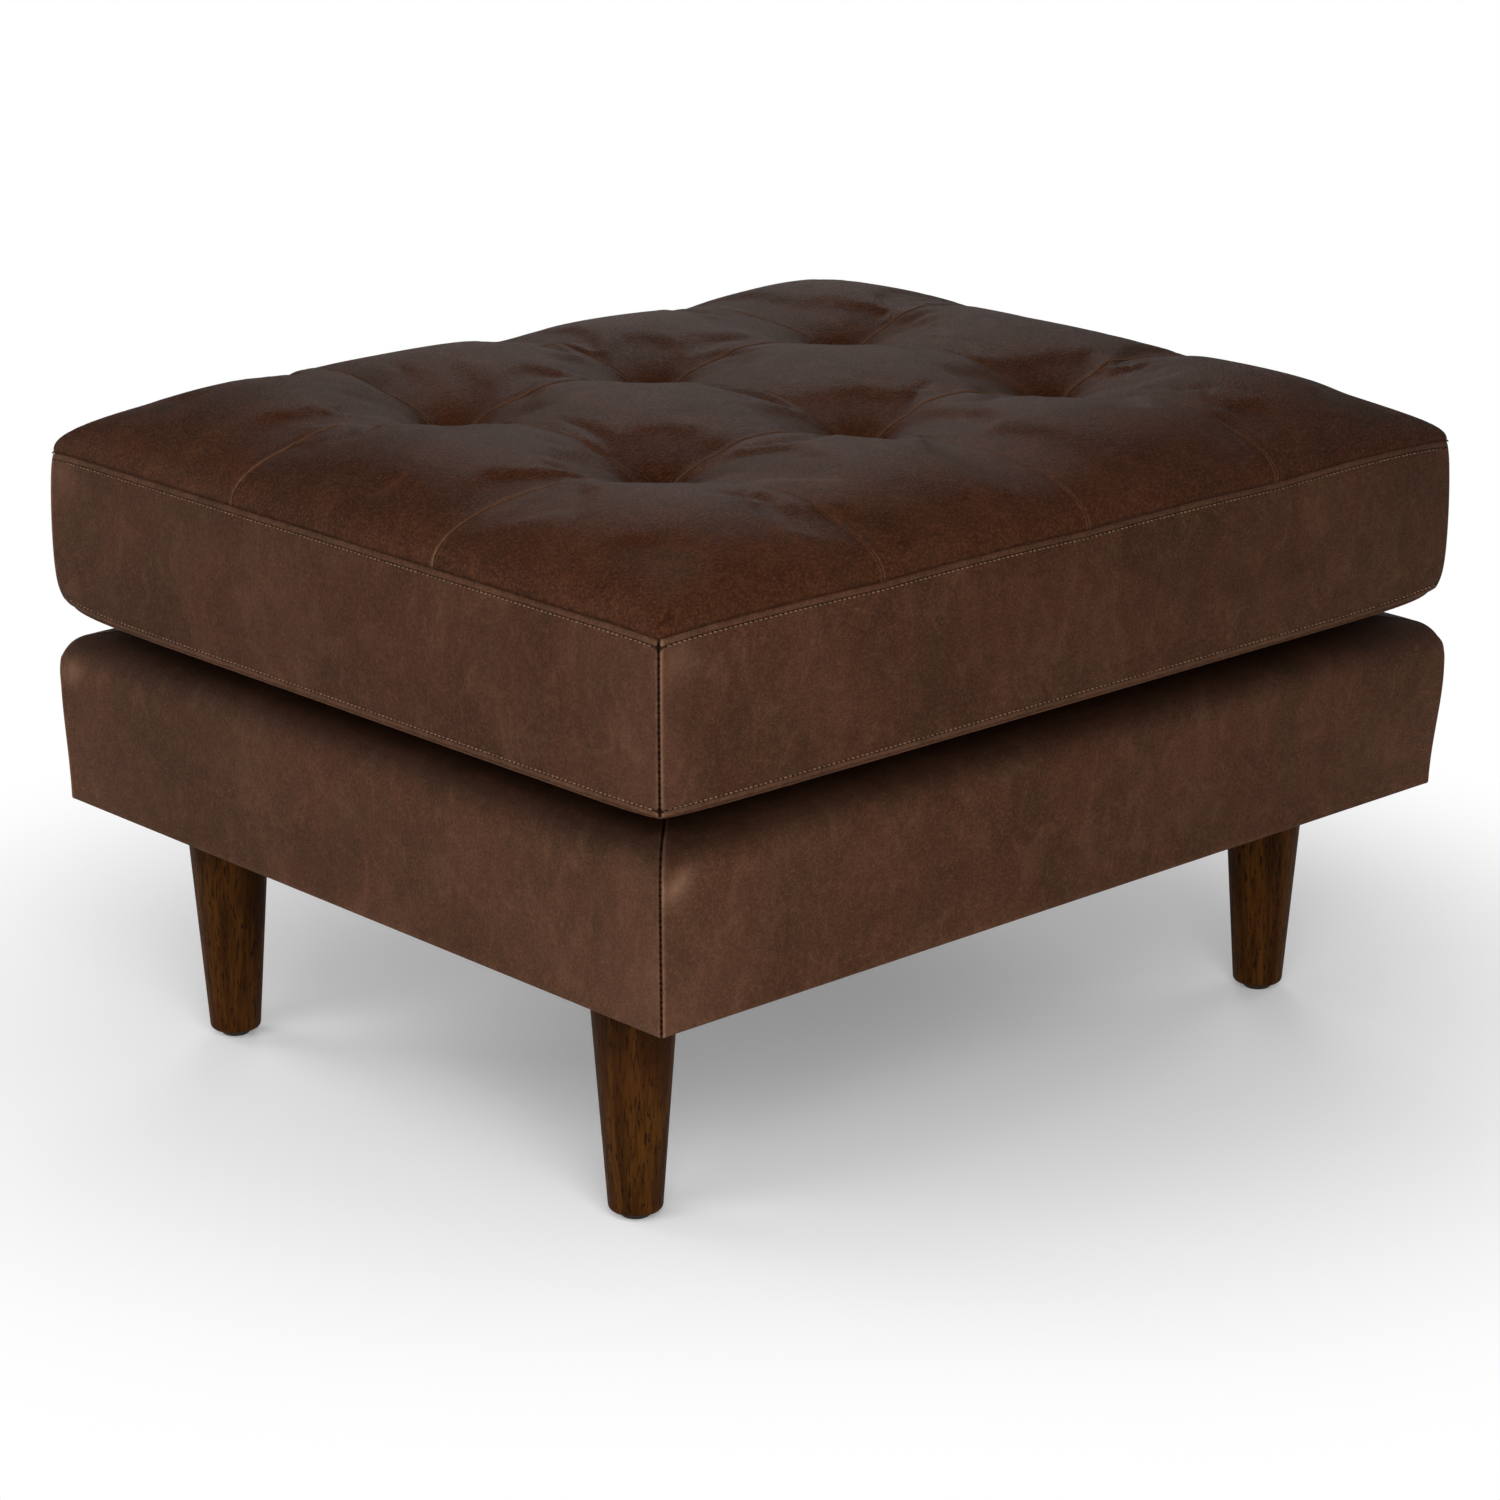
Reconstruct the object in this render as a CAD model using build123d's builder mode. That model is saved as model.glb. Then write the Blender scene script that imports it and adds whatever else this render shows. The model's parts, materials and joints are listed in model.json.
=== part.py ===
from build123d import *
import os
from math import exp

# A leather ottoman: a tufted box cushion that lies loose on a low upholstered base with four turned legs.
# Millimetres, +Z up, origin on the floor under the middle. Front is -Y, left is -X, and X is the long side.
os.makedirs("parts", exist_ok=True)

# Base, over its leather
base_width = 720.0
base_depth = 618.0
underside_height = 164.0  # floor to the leather under the base
leather = 1.5
turn_under = 25.0  # leather folded in under the rails
leather_border = 80.0  # leather carried in over the rolled edge
deck_drop = 12.7  # from the deck's flat middle to where its slope would meet the side
roll_radius = 16.0
lining_gap = 0.3  # slack between a cover and the padding behind it

# Wooden frame
side_pad = 8.0
rail_thickness = 22.0
rail_height = 90.0
cross_rail_height = 60.0
board_thickness = 18.0
board_along_x = 140.0
board_along_y = 160.0

# Screws
screw_radius = 2.25
screw_length = 50.0
screw_head_radius = 4.5
screw_gap = 0.1
corner_screw_height_shares = (0.36, 0.80)  # up the rail
cross_screw_height_shares = (0.25, 0.75)  # up the cross rail
board_screw_share = 0.5  # along the board, from its inner end

# Webbing, deck cloth and deck foam
strap_width = 50.0
strap_thickness = 1.5
strap_ramp = 12.0  # length over which a crosswise strap steps down to its rail
strap_end_inset = 4.0  # from the rail's outer face
lengthwise_straps = 5
crosswise_straps = 6
deck_cloth_thickness = 1.0
deck_foam_thickness = 30.7

# Dust cover
dust_cover_thickness = 0.6
dust_cover_inset = 12.0
dust_hole_gap = 1.5  # round the leg

# Legs, their bolts and their glides
leg_inset_x = 63.0  # leg axis in from the base's left or right face
leg_inset_y = 97.0  # leg axis in from the base's front or back face
leg_top_radius = 29.6
leg_foot_radius = 17.6
leg_foot_round = 3.5
bolt_radius = 4.0
bolt_in_leg = 35.0
bolt_above_board = 6.0
bolt_tip_chamfer = 0.8
thread_gap = 0.05
tee_barrel_radius = 5.5
tee_barrel_length = 12.0
tee_flange_radius = 12.0
tee_flange_thickness = 1.6
glide_radius = 10.0
glide_thickness = 4.5
glide_round = 1.8
nail_radius = 1.2
nail_length = 14.0

# Box cushion, over its seams
cushion_overhang = 1.0  # past each side of the base
rest_gap = 0.3  # between the cushion and the deck that it lies on
bottom_seam_rise = 8.8  # of the bottom seam over the underside that lies on the deck
boxing_height = 107.9
boxing_belly = 1.0  # how far the boxing swells out between its drawn-in seams
sag_reach = 65.0  # in from the edge, where the underside comes down to the deck
columns = 4
rows = 3

# Crown and tufts of the cushion's top
crown_height = 38.0
crown_reach = 107.0  # in from the edge, where the crown levels out
crown_power = 1.9  # how quickly it levels out
crown_fullness = 0.45  # under 1 fills the edges and corners out
shoulder = 40.0  # width of the steep part at the edge
shoulder_middle_share = 0.35
pillow_height = 6.5
edge_swell = 1.0  # of the top's edge between two panel seams
tuft_depth = 33.0
tuft_reach = 22.0
edge_row_shares = (0.0, 0.05, 0.15, 0.34, 0.60, 0.80, 0.92, 1.0)
middle_row_shares = (0.0, 0.08, 0.22, 0.50, 0.78, 0.92, 1.0)

# Filling and tufting
side_gap = 1.4  # between the boxing and the filling
crown_gap = 1.0  # between the top leather and the fibre
core_height = 106.0
core_round = 6.0
twine_radius = 1.0
twine_gap = 0.5
knot_radius = 2.5
knot_height = 1.0
washer_radius = 11.0
washer_thickness = 1.5
washer_gap = 0.5

# Zip in the back boxing
zip_end_inset = 45.0
zip_slot = 10.4  # opening between the two leather strips
coil_width = 2.4
coil_thickness = 2.2
coil_recess = 1.4  # of the coil's face behind the leather's
coil_spread = 1.4  # between the two coil rows, for the slider's web
tape_width = 14.0
tape_thickness = 0.8
tape_recess = 1.8
slider_length = 11.0
slider_width = 9.0
slider_plate = 1.0
slider_inner_plate = 0.8
slider_web = 0.8
slider_gap = 0.3
slider_end_gap = 2.0
zip_groove_gap = 0.5

# Heights and half sizes that follow from these
half_base_x = base_width / 2
half_base_y = base_depth / 2
wood_bottom = underside_height + leather
rail_top = wood_bottom + rail_height
cloth_bottom = rail_top + 2 * strap_thickness
foam_bottom = cloth_bottom + deck_cloth_thickness
deck_top = foam_bottom + deck_foam_thickness + leather
edge_height = deck_top - deck_drop
rail_face_x = half_base_x - leather - side_pad
rail_face_y = half_base_y - leather - side_pad
inner_x = rail_face_x - rail_thickness
inner_y = rail_face_y - rail_thickness
leg_x = half_base_x - leg_inset_x
leg_y = half_base_y - leg_inset_y
board_top = wood_bottom + board_thickness
cushion_width = base_width + 2 * cushion_overhang
cushion_depth = base_depth + 2 * cushion_overhang
half_x = cushion_width / 2
half_y = cushion_depth / 2
panel_x = cushion_width / columns
panel_y = cushion_depth / rows
cushion_bottom = deck_top + rest_gap
boxing_bottom = cushion_bottom + bottom_seam_rise
boxing_top = boxing_bottom + boxing_height
boxing_middle = boxing_bottom + boxing_height / 2
core_bottom = cushion_bottom + leather + lining_gap
core_top = core_bottom + core_height
fill_inset = leather + side_gap
left_right = {"left": -1, "right": 1}
front_back = {"front": -1, "back": 1}
outward = {"front": (0, -1), "back": (0, 1), "left": (-1, 0), "right": (1, 0)}


def save(builder, name):
    """Label a finished piece and write it under its own name."""
    builder.part.label = name
    export_step(builder.part, f"parts/{name}.step")


def wall_plane(side):
    """Upright plane square to one side: its x runs outwards from the middle and its y runs up."""
    out_x, out_y = outward[side]
    return Plane(origin=(0, 0, 0), x_dir=(out_x, out_y, 0), z_dir=(out_y, -out_x, 0))


def side_reach(side, along_x, along_y):
    """Distance from the middle to a side, and half the length of that side."""
    return (along_y, along_x) if side in front_back else (along_x, along_y)


def mitre_plan(side, along_x, along_y, depth):
    """Plan of the ground that a wall may stand on, between the 45 degree mitres at its two corners."""
    out_x, out_y = outward[side]
    face, half_length = side_reach(side, along_x, along_y)
    corners = [(face, -half_length), (face, half_length), (face - depth, half_length - depth),
               (face - depth, depth - half_length)]
    with BuildSketch(Plane.XY) as plan:
        with BuildLine():
            Polyline([(a * out_x - b * out_y, a * out_y + b * out_x) for a, b in corners], close=True)
        make_face()
    return plan.sketch


def screw_holes(planes):
    """Countersunk pilot holes, each running into the wood from its plane."""
    with Locations(*planes):
        Cylinder(screw_radius + screw_gap, screw_length + screw_gap,
                 align=(Align.CENTER, Align.CENTER, Align.MAX), mode=Mode.SUBTRACT)
        Cone(screw_radius + screw_gap, screw_head_radius + screw_gap, screw_head_radius - screw_radius,
             align=(Align.CENTER, Align.CENTER, Align.MAX), mode=Mode.SUBTRACT)


def screws(planes):
    """Countersunk screws, flush with their planes."""
    with Locations(*planes):
        Cylinder(screw_radius, screw_length, align=(Align.CENTER, Align.CENTER, Align.MAX))
        Cone(screw_radius, screw_head_radius, screw_head_radius - screw_radius,
             align=(Align.CENTER, Align.CENTER, Align.MAX))


# Screw places: through the long rails into the short ones and the cross rail, and into the boards' edges
corner_screws = {end: [Plane(origin=(sx * (rail_face_x - rail_thickness / 2), sy * rail_face_y,
                                     wood_bottom + share * rail_height), z_dir=(0, sy, 0))
                       for sx in left_right.values() for share in corner_screw_height_shares]
                 for end, sy in front_back.items()}
cross_screws = {end: [Plane(origin=(0, sy * rail_face_y, wood_bottom + share * cross_rail_height),
                            z_dir=(0, sy, 0)) for share in cross_screw_height_shares]
                for end, sy in front_back.items()}
board_screws = {(end, flank): Plane(origin=(sx * (inner_x - board_screw_share * board_along_x),
                                            sy * rail_face_y, wood_bottom + board_thickness / 2),
                                    z_dir=(0, sy, 0))
                for end, sy in front_back.items() for flank, sx in left_right.items()}
flank_screws = {(end, flank): Plane(origin=(sx * rail_face_x, sy * (inner_y - board_screw_share * board_along_y),
                                            wood_bottom + board_thickness / 2), z_dir=(sx, 0, 0))
                for end, sy in front_back.items() for flank, sx in left_right.items()}

# Frame rails: the long ones run the full width, the short ones fit between them
for end, sy in front_back.items():
    with BuildPart() as rail:
        with BuildSketch(Plane.XY.offset(wood_bottom)):
            with Locations((0, sy * (inner_y + rail_thickness / 2))):
                Rectangle(2 * rail_face_x, rail_thickness)
        extrude(amount=rail_height)
        screw_holes(corner_screws[end] + cross_screws[end])
        screw_holes([board_screws[end, flank] for flank in left_right])
    save(rail, f"frame_rail_{end}")

for flank, sx in left_right.items():
    with BuildPart() as rail:
        with BuildSketch(Plane.XY.offset(wood_bottom)):
            with Locations((sx * (inner_x + rail_thickness / 2), 0)):
                Rectangle(rail_thickness, 2 * inner_y)
        extrude(amount=rail_height)
        screw_holes(corner_screws["front"] + corner_screws["back"])
        screw_holes([flank_screws[end, flank] for end in front_back])
    save(rail, f"frame_rail_{flank}")

with BuildPart() as cross_rail:
    with BuildSketch(Plane.XY.offset(wood_bottom)):
        Rectangle(rail_thickness, 2 * inner_y)
    extrude(amount=cross_rail_height)
    screw_holes(cross_screws["front"] + cross_screws["back"])
save(cross_rail, "frame_cross_rail")

# Corner boards, which carry the legs' tee nuts
for end, sy in front_back.items():
    for flank, sx in left_right.items():
        with BuildPart() as board:
            with BuildSketch(Plane.XY.offset(wood_bottom)):
                with Locations((sx * (inner_x - board_along_x / 2), sy * (inner_y - board_along_y / 2))):
                    Rectangle(board_along_x, board_along_y)
            extrude(amount=board_thickness)
            with Locations((sx * leg_x, sy * leg_y, board_top)):
                CounterBoreHole(bolt_radius + thread_gap, tee_barrel_radius + thread_gap,
                                tee_barrel_length + thread_gap)
            screw_holes([board_screws[end, flank], flank_screws[end, flank]])
        save(board, f"corner_board_{end}_{flank}")

with BuildPart() as rail_screws:
    for end in front_back:
        screws(corner_screws[end] + cross_screws[end])
save(rail_screws, "rail_screws")

with BuildPart() as board_screw_set:
    screws(list(board_screws.values()) + list(flank_screws.values()))
save(board_screw_set, "board_screws")

# Legs, with the hanger bolts and tee nuts that hold them, and the glides that they stand on
leg_places = {(end, flank): (sx * leg_x, sy * leg_y)
              for end, sy in front_back.items() for flank, sx in left_right.items()}

for (end, flank), (x, y) in leg_places.items():
    upright = Plane(origin=(x, y, 0), x_dir=(1, 0, 0), z_dir=(0, -1, 0))
    with BuildPart() as leg:
        with BuildSketch(upright):
            with BuildLine():
                Polyline((0, glide_thickness), (leg_foot_radius, glide_thickness),
                         (leg_top_radius, wood_bottom), (0, wood_bottom), close=True)
            make_face()
        revolve(axis=Axis((x, y, 0), (0, 0, 1)))
        fillet(leg.faces().sort_by(Axis.Z)[0].edges(), leg_foot_round)
        with BuildSketch(Plane.XY.offset(wood_bottom)):
            with Locations((x, y)):
                Circle(bolt_radius + thread_gap)
        extrude(amount=-(bolt_in_leg + thread_gap), mode=Mode.SUBTRACT)
        with BuildSketch(Plane.XY.offset(glide_thickness)):
            with Locations((x, y)):
                Circle(nail_radius + thread_gap)
        extrude(amount=nail_length + thread_gap, mode=Mode.SUBTRACT)
    save(leg, f"leg_{end}_{flank}")

    with BuildPart() as glide:
        with BuildSketch(Plane.XY):
            with Locations((x, y)):
                Circle(glide_radius)
        extrude(amount=glide_thickness)
        fillet(glide.faces().sort_by(Axis.Z)[0].edges(), glide_round)
        with BuildSketch(Plane.XY.offset(glide_thickness)):
            with Locations((x, y)):
                Circle(nail_radius)
        extrude(amount=nail_length)
    save(glide, f"glide_{end}_{flank}")

with BuildPart() as hanger_bolts:
    with BuildSketch(Plane.XY.offset(wood_bottom - bolt_in_leg)):
        with Locations(*leg_places.values()):
            Circle(bolt_radius)
    extrude(amount=bolt_in_leg + board_thickness + bolt_above_board)
    chamfer(hanger_bolts.edges().group_by(Axis.Z)[0] + hanger_bolts.edges().group_by(Axis.Z)[-1],
            bolt_tip_chamfer)
save(hanger_bolts, "hanger_bolts")

with BuildPart() as tee_nuts:
    with BuildSketch(Plane.XY.offset(board_top - tee_barrel_length)):
        with Locations(*leg_places.values()):
            Circle(tee_barrel_radius)
    extrude(amount=tee_barrel_length)
    with BuildSketch(Plane.XY.offset(board_top)):
        with Locations(*leg_places.values()):
            Circle(tee_flange_radius)
    extrude(amount=tee_flange_thickness)
    with BuildSketch(Plane.XY.offset(board_top - tee_barrel_length)):
        with Locations(*leg_places.values()):
            Circle(bolt_radius + thread_gap)
    extrude(amount=tee_barrel_length + tee_flange_thickness, mode=Mode.SUBTRACT)
save(tee_nuts, "tee_nuts")

# Webbing: lengthwise straps lie flat on the short rails, and crosswise straps pass over them
with BuildPart() as webbing_lengthwise:
    with BuildSketch(Plane.XY.offset(rail_top)):
        with GridLocations(0, 2 * inner_y / lengthwise_straps, 1, lengthwise_straps):
            Rectangle(2 * (rail_face_x - strap_end_inset), strap_width)
    extrude(amount=strap_thickness)
save(webbing_lengthwise, "webbing_lengthwise")

strap_end = rail_face_y - strap_end_inset
strap_line = [(strap_end, 0), (inner_y, 0), (inner_y - strap_ramp, strap_thickness),
              (strap_ramp - inner_y, strap_thickness), (-inner_y, 0), (-strap_end, 0)]
strap_pitch = 2 * inner_x / crosswise_straps
with BuildPart() as webbing_crosswise:
    for index in range(crosswise_straps):
        middle = (index - (crosswise_straps - 1) / 2) * strap_pitch
        with BuildSketch(Plane(origin=(middle, 0, rail_top), x_dir=(0, 1, 0), z_dir=(1, 0, 0))):
            with BuildLine():
                Polyline(strap_line + [(y, z + strap_thickness) for y, z in reversed(strap_line)], close=True)
            make_face()
        extrude(amount=strap_width / 2, both=True)
save(webbing_crosswise, "webbing_crosswise")

with BuildPart() as deck_cloth:
    with BuildSketch(Plane.XY.offset(cloth_bottom)):
        Rectangle(2 * (rail_face_x - strap_end_inset), 2 * (rail_face_y - strap_end_inset))
    extrude(amount=deck_cloth_thickness)
save(deck_cloth, "deck_cloth")

# Deck foam: rolled edges and a slope up to the flat middle, the same on all four sides
with BuildPart() as deck_foam:
    for side, mode in (("front", Mode.ADD), ("left", Mode.INTERSECT)):
        face, half_length = side_reach(side, half_base_x, half_base_y)
        edge = face - leather - lining_gap
        flat = face - leather_border
        foam_top = deck_top - leather - lining_gap
        foam_edge = edge_height - leather - lining_gap
        with BuildSketch(wall_plane(side)) as section:
            with BuildLine():
                Polyline((-edge, foam_bottom), (edge, foam_bottom), (edge, foam_edge), (flat, foam_top),
                         (-flat, foam_top), (-edge, foam_edge), close=True)
            make_face()
            fillet(section.vertices().group_by(Axis.Y)[1], roll_radius - leather - lining_gap)
        extrude(amount=half_length, both=True, mode=mode)
save(deck_foam, "deck_foam")

# Side padding and leather of the base, mitred at the corners
for side in outward:
    face, half_length = side_reach(side, half_base_x, half_base_y)

    with BuildPart() as padding:
        with BuildSketch(wall_plane(side)):
            with BuildLine():
                Polyline((face - leather - side_pad, wood_bottom), (face - leather - lining_gap, wood_bottom),
                         (face - leather - lining_gap, foam_bottom), (face - leather - side_pad, foam_bottom),
                         close=True)
            make_face()
        extrude(amount=half_length, both=True)
        extrude(mitre_plan(side, half_base_x, half_base_y, leather_border), amount=deck_top,
                mode=Mode.INTERSECT)
    save(padding, f"side_padding_{side}")

    with BuildPart() as cover:
        with BuildSketch(wall_plane(side)) as section:
            with BuildLine():
                Polyline((face - turn_under, underside_height), (face, underside_height), (face, edge_height),
                         (face - leather_border, deck_top), (face - leather_border, deck_top - leather),
                         (face - leather, edge_height - leather), (face - leather, wood_bottom),
                         (face - turn_under, wood_bottom), close=True)
            make_face()
            rolled = section.vertices().sort_by(Axis.Y)
            fillet(rolled[-3], roll_radius)
            fillet(section.vertices().sort_by_distance((face - leather, edge_height - leather))[0],
                   roll_radius - leather)
        extrude(amount=half_length, both=True)
        extrude(mitre_plan(side, half_base_x, half_base_y, leather_border), amount=deck_top,
                mode=Mode.INTERSECT)
    save(cover, f"base_cover_{side}")

with BuildPart() as deck_cover:
    with BuildSketch(Plane.XY.offset(deck_top - leather)):
        Rectangle(base_width - 2 * leather_border, base_depth - 2 * leather_border)
    extrude(amount=leather)
save(deck_cover, "deck_cover")

with BuildPart() as dust_cover:
    with BuildSketch(Plane.XY.offset(underside_height)):
        Rectangle(base_width - 2 * dust_cover_inset, base_depth - 2 * dust_cover_inset)
        with Locations(*leg_places.values()):
            Circle(leg_top_radius + dust_hole_gap, mode=Mode.SUBTRACT)
    extrude(amount=-dust_cover_thickness)
save(dust_cover, "dust_cover")


# Top of the cushion
def edge_rise(distance):
    """Share of the crown that is reached at this distance from the edge: steep first, then level."""
    return (1 - (1 - min(distance / crown_reach, 1)) ** crown_power) ** crown_fullness


def within_panel(place, size):
    """Place inside a panel, from -1 at one seam to 1 at the next; seams lie at whole multiples of size."""
    return 2 * (place / size % 1) - 1


tuft_places = [((column - columns / 2) * panel_x, (row - rows / 2) * panel_y)
               for column in range(1, columns) for row in range(1, rows)]


def top_height(x, y):
    """Height of the leather's top: a crown, a pillow on each panel, and a dip round each tuft."""
    rise = edge_rise(half_x - abs(x)) * edge_rise(half_y - abs(y))
    across = 1 - within_panel(x + half_x, panel_x) ** 2
    along = 1 - within_panel(y + half_y, panel_y) ** 2
    pillow = (pillow_height * along + edge_swell) * across
    dips = sum(tuft_depth * exp(-((x - tx) ** 2 + (y - ty) ** 2) ** 0.5 / tuft_reach)
               for tx, ty in tuft_places)
    return boxing_top + leather + pillow + rise * (crown_height - dips)


def column_places(column):
    """Places across one column of panels, in threes that share their ends: start, middle, end of each arc."""
    start = column * panel_x - half_x
    end = start + panel_x
    if column == 0:
        bend = start + shoulder
        return [start, start + shoulder_middle_share * shoulder, bend, (bend + end) / 2, end]
    if column == columns - 1:
        return [-x for x in reversed(column_places(0))]
    return [start, (start + end) / 2, end]


def row_places(row):
    """Places along one row of panels at which its shape is drawn."""
    start = row * panel_y - half_y
    if row == 0:
        return [start + share * panel_y for share in edge_row_shares]
    if row == rows - 1:
        return [-y for y in reversed(row_places(0))]
    return [start + share * panel_y for share in middle_row_shares]


def let_in(place, half, inset):
    """The same place inside the cover: the whole inset at the edge, and none past the shoulder."""
    moved = inset * max(1 - (half - abs(place)) / shoulder, 0)
    return place - moved if place > 0 else place + moved


def crown_arcs(places, y, drop, inset):
    """Arcs along the top's shape at this y, let down by drop and in from the edges by inset."""
    points = [(let_in(x, half_x, inset), top_height(x, y) - drop) for x in places]
    for index in range(0, len(points) - 1, 2):
        ThreePointArc(*points[index:index + 3])
    return points[0], points[-1]


row_names = ("front", "middle", "back")
for row, row_name in enumerate(row_names):
    for column in range(columns):
        with BuildPart() as panel:
            for y in row_places(row):
                with BuildSketch(Plane.XZ.offset(-y)):
                    with BuildLine():
                        upper_ends = crown_arcs(column_places(column), y, 0, 0)
                        lower_ends = crown_arcs(column_places(column), y, leather, 0)
                        for upper, lower in zip(upper_ends, lower_ends):
                            Line(lower, upper)
                    make_face()
            loft()
        save(panel, f"top_panel_{row_name}_{column + 1}")

# Boxing of the cushion: a strip that swells a little between its seams, mitred at the upright corner seams
for side in outward:
    face, half_length = side_reach(side, half_x, half_y)
    with BuildPart() as boxing:
        with BuildSketch(wall_plane(side)):
            with BuildLine():
                ThreePointArc((face, boxing_bottom), (face + boxing_belly, boxing_middle), (face, boxing_top))
                Line((face, boxing_top), (face - leather, boxing_top))
                ThreePointArc((face - leather, boxing_top), (face - leather + boxing_belly, boxing_middle),
                              (face - leather, boxing_bottom))
                Line((face - leather, boxing_bottom), (face, boxing_bottom))
            make_face()
        extrude(amount=half_length + boxing_belly, both=True)
        extrude(mitre_plan(side, half_x + boxing_belly, half_y + boxing_belly, sag_reach),
                amount=boxing_top, mode=Mode.INTERSECT)
        if side == "back":
            with BuildSketch(Plane.XZ.offset(-half_y)):
                with Locations((0, boxing_middle)):
                    Rectangle(cushion_width - 2 * zip_end_inset, zip_slot)
            extrude(amount=sag_reach, both=True, mode=Mode.SUBTRACT)
            back_boxing = boxing.part
    if side != "back":
        save(boxing, f"boxing_{side}")

for name, keep in (("upper", Keep.TOP), ("lower", Keep.BOTTOM)):
    with BuildPart() as strip:
        add(back_boxing)
        split(bisect_by=Plane.XY.offset(boxing_middle), keep=keep)
    save(strip, f"boxing_back_{name}")


def underside_section(side, inset, lift, top):
    """Section of the cushion from its sagging underside up to a level top, let in and lifted."""
    face = side_reach(side, half_x, half_y)[0]
    edge = face - inset
    flat = face - sag_reach
    low = cushion_bottom + lift
    high = boxing_bottom - leather + lift
    bend = (edge + flat) / 2
    bend_height = low + (high - low) / 4
    with BuildSketch(wall_plane(side)) as section:
        with BuildLine():
            Line((-flat, low), (flat, low))
            ThreePointArc((flat, low), (bend, bend_height), (edge, high))
            Line((edge, high), (edge, top))
            Line((edge, top), (-edge, top))
            Line((-edge, top), (-edge, high))
            ThreePointArc((-edge, high), (-bend, bend_height), (-flat, low))
        make_face()
    return section.sketch


# Bottom panel: a shallow dish of leather that lies flat on the deck in its middle
with BuildPart() as dish:
    for side, mode in (("front", Mode.ADD), ("left", Mode.INTERSECT)):
        extrude(underside_section(side, 0, leather, boxing_top), amount=half_x, both=True, mode=mode)
with BuildPart() as bottom_panel:
    for side, mode in (("front", Mode.ADD), ("left", Mode.INTERSECT)):
        extrude(underside_section(side, 0, 0, boxing_bottom), amount=half_x, both=True, mode=mode)
    add(dish.part, mode=Mode.SUBTRACT)
save(bottom_panel, "bottom_panel")

# Foam core, with a hole for each tuft's twine, a seat for its washer and a groove behind the zip
twine_bottom = core_bottom + washer_gap
washer_top = twine_bottom + knot_height + washer_thickness
zip_face = half_y + boxing_belly
coil_face = zip_face - coil_recess
coil_back = coil_face - coil_thickness
slider_back = coil_back - slider_gap - slider_inner_plate
with BuildPart() as foam_core:
    for side, mode in (("front", Mode.ADD), ("left", Mode.INTERSECT)):
        extrude(underside_section(side, fill_inset, leather + lining_gap, core_top), amount=half_x,
                both=True, mode=mode)
    fillet(foam_core.edges().filter_by(Axis.Z), core_round)
    with BuildSketch(Plane.XY.offset(core_top)):
        with Locations(*tuft_places):
            Circle(twine_radius + twine_gap)
    extrude(amount=-core_height, mode=Mode.SUBTRACT)
    with BuildSketch(Plane.XY.offset(washer_top)):
        with Locations(*tuft_places):
            Circle(washer_radius + washer_gap)
    extrude(amount=-(washer_top - core_bottom), mode=Mode.SUBTRACT)
    with BuildSketch(Plane.XZ.offset(-(slider_back - zip_groove_gap))):
        with Locations((0, boxing_middle)):
            Rectangle(cushion_width - 2 * zip_end_inset, slider_width + 2 * zip_groove_gap)
    extrude(amount=-side_pad, mode=Mode.SUBTRACT)
save(foam_core, "foam_core")

# Fibre over the core, which fills the crown and the pillows between the tufts
with BuildPart() as fibre_topper:
    drop = leather + crown_gap
    across = column_places(0)
    for column in range(1, columns):
        across += column_places(column)[1:]
    for row in range(rows):
        for y in row_places(row):
            with BuildSketch(Plane.XZ.offset(-let_in(y, half_y, fill_inset))):
                with BuildLine():
                    left_top, right_top = crown_arcs(across, y, drop, fill_inset)
                    Polyline(right_top, (right_top[0], core_top), (left_top[0], core_top), left_top)
                make_face()
        loft()
    with BuildSketch(Plane.XY.offset(core_top)):
        with Locations(*tuft_places):
            Circle(twine_radius + twine_gap)
    extrude(amount=core_height, mode=Mode.SUBTRACT)
save(fibre_topper, "fibre_topper")

# Tufting: each seam crossing is pulled down by a twine, tied off under a washer below the core
twine_top = top_height(*tuft_places[0]) - leather - lining_gap
with BuildPart() as tuft_twines:
    with BuildSketch(Plane.XY.offset(twine_bottom)):
        with Locations(*tuft_places):
            Circle(knot_radius)
    extrude(amount=knot_height)
    with BuildSketch(Plane.XY.offset(twine_bottom)):
        with Locations(*tuft_places):
            Circle(twine_radius)
    extrude(amount=twine_top - twine_bottom)
save(tuft_twines, "tuft_twines")

with BuildPart() as tuft_washers:
    with BuildSketch(Plane.XY.offset(washer_top)):
        with Locations(*tuft_places):
            Circle(washer_radius)
            Circle(twine_radius + thread_gap, mode=Mode.SUBTRACT)
    extrude(amount=-washer_thickness)
save(tuft_washers, "tuft_washers")

# Zip: two coil rows on their tapes, and a slider that runs along them with its web between the rows
zip_half_length = half_x - zip_end_inset
with BuildPart() as zip_tapes:
    for sign in (-1, 1):
        coil_middle = boxing_middle + sign * (coil_spread + coil_width) / 2
        tape_middle = boxing_middle + sign * (coil_spread / 2 + coil_width + tape_width / 2)
        with BuildSketch(Plane.XZ.offset(-coil_back)):
            with Locations((0, coil_middle)):
                Rectangle(2 * zip_half_length, coil_width)
        extrude(amount=-coil_thickness)
        with BuildSketch(Plane.XZ.offset(-(zip_face - tape_recess))):
            with Locations((0, tape_middle)):
                Rectangle(2 * zip_half_length, tape_width)
        extrude(amount=tape_thickness)
save(zip_tapes, "zip_tapes")

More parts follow.
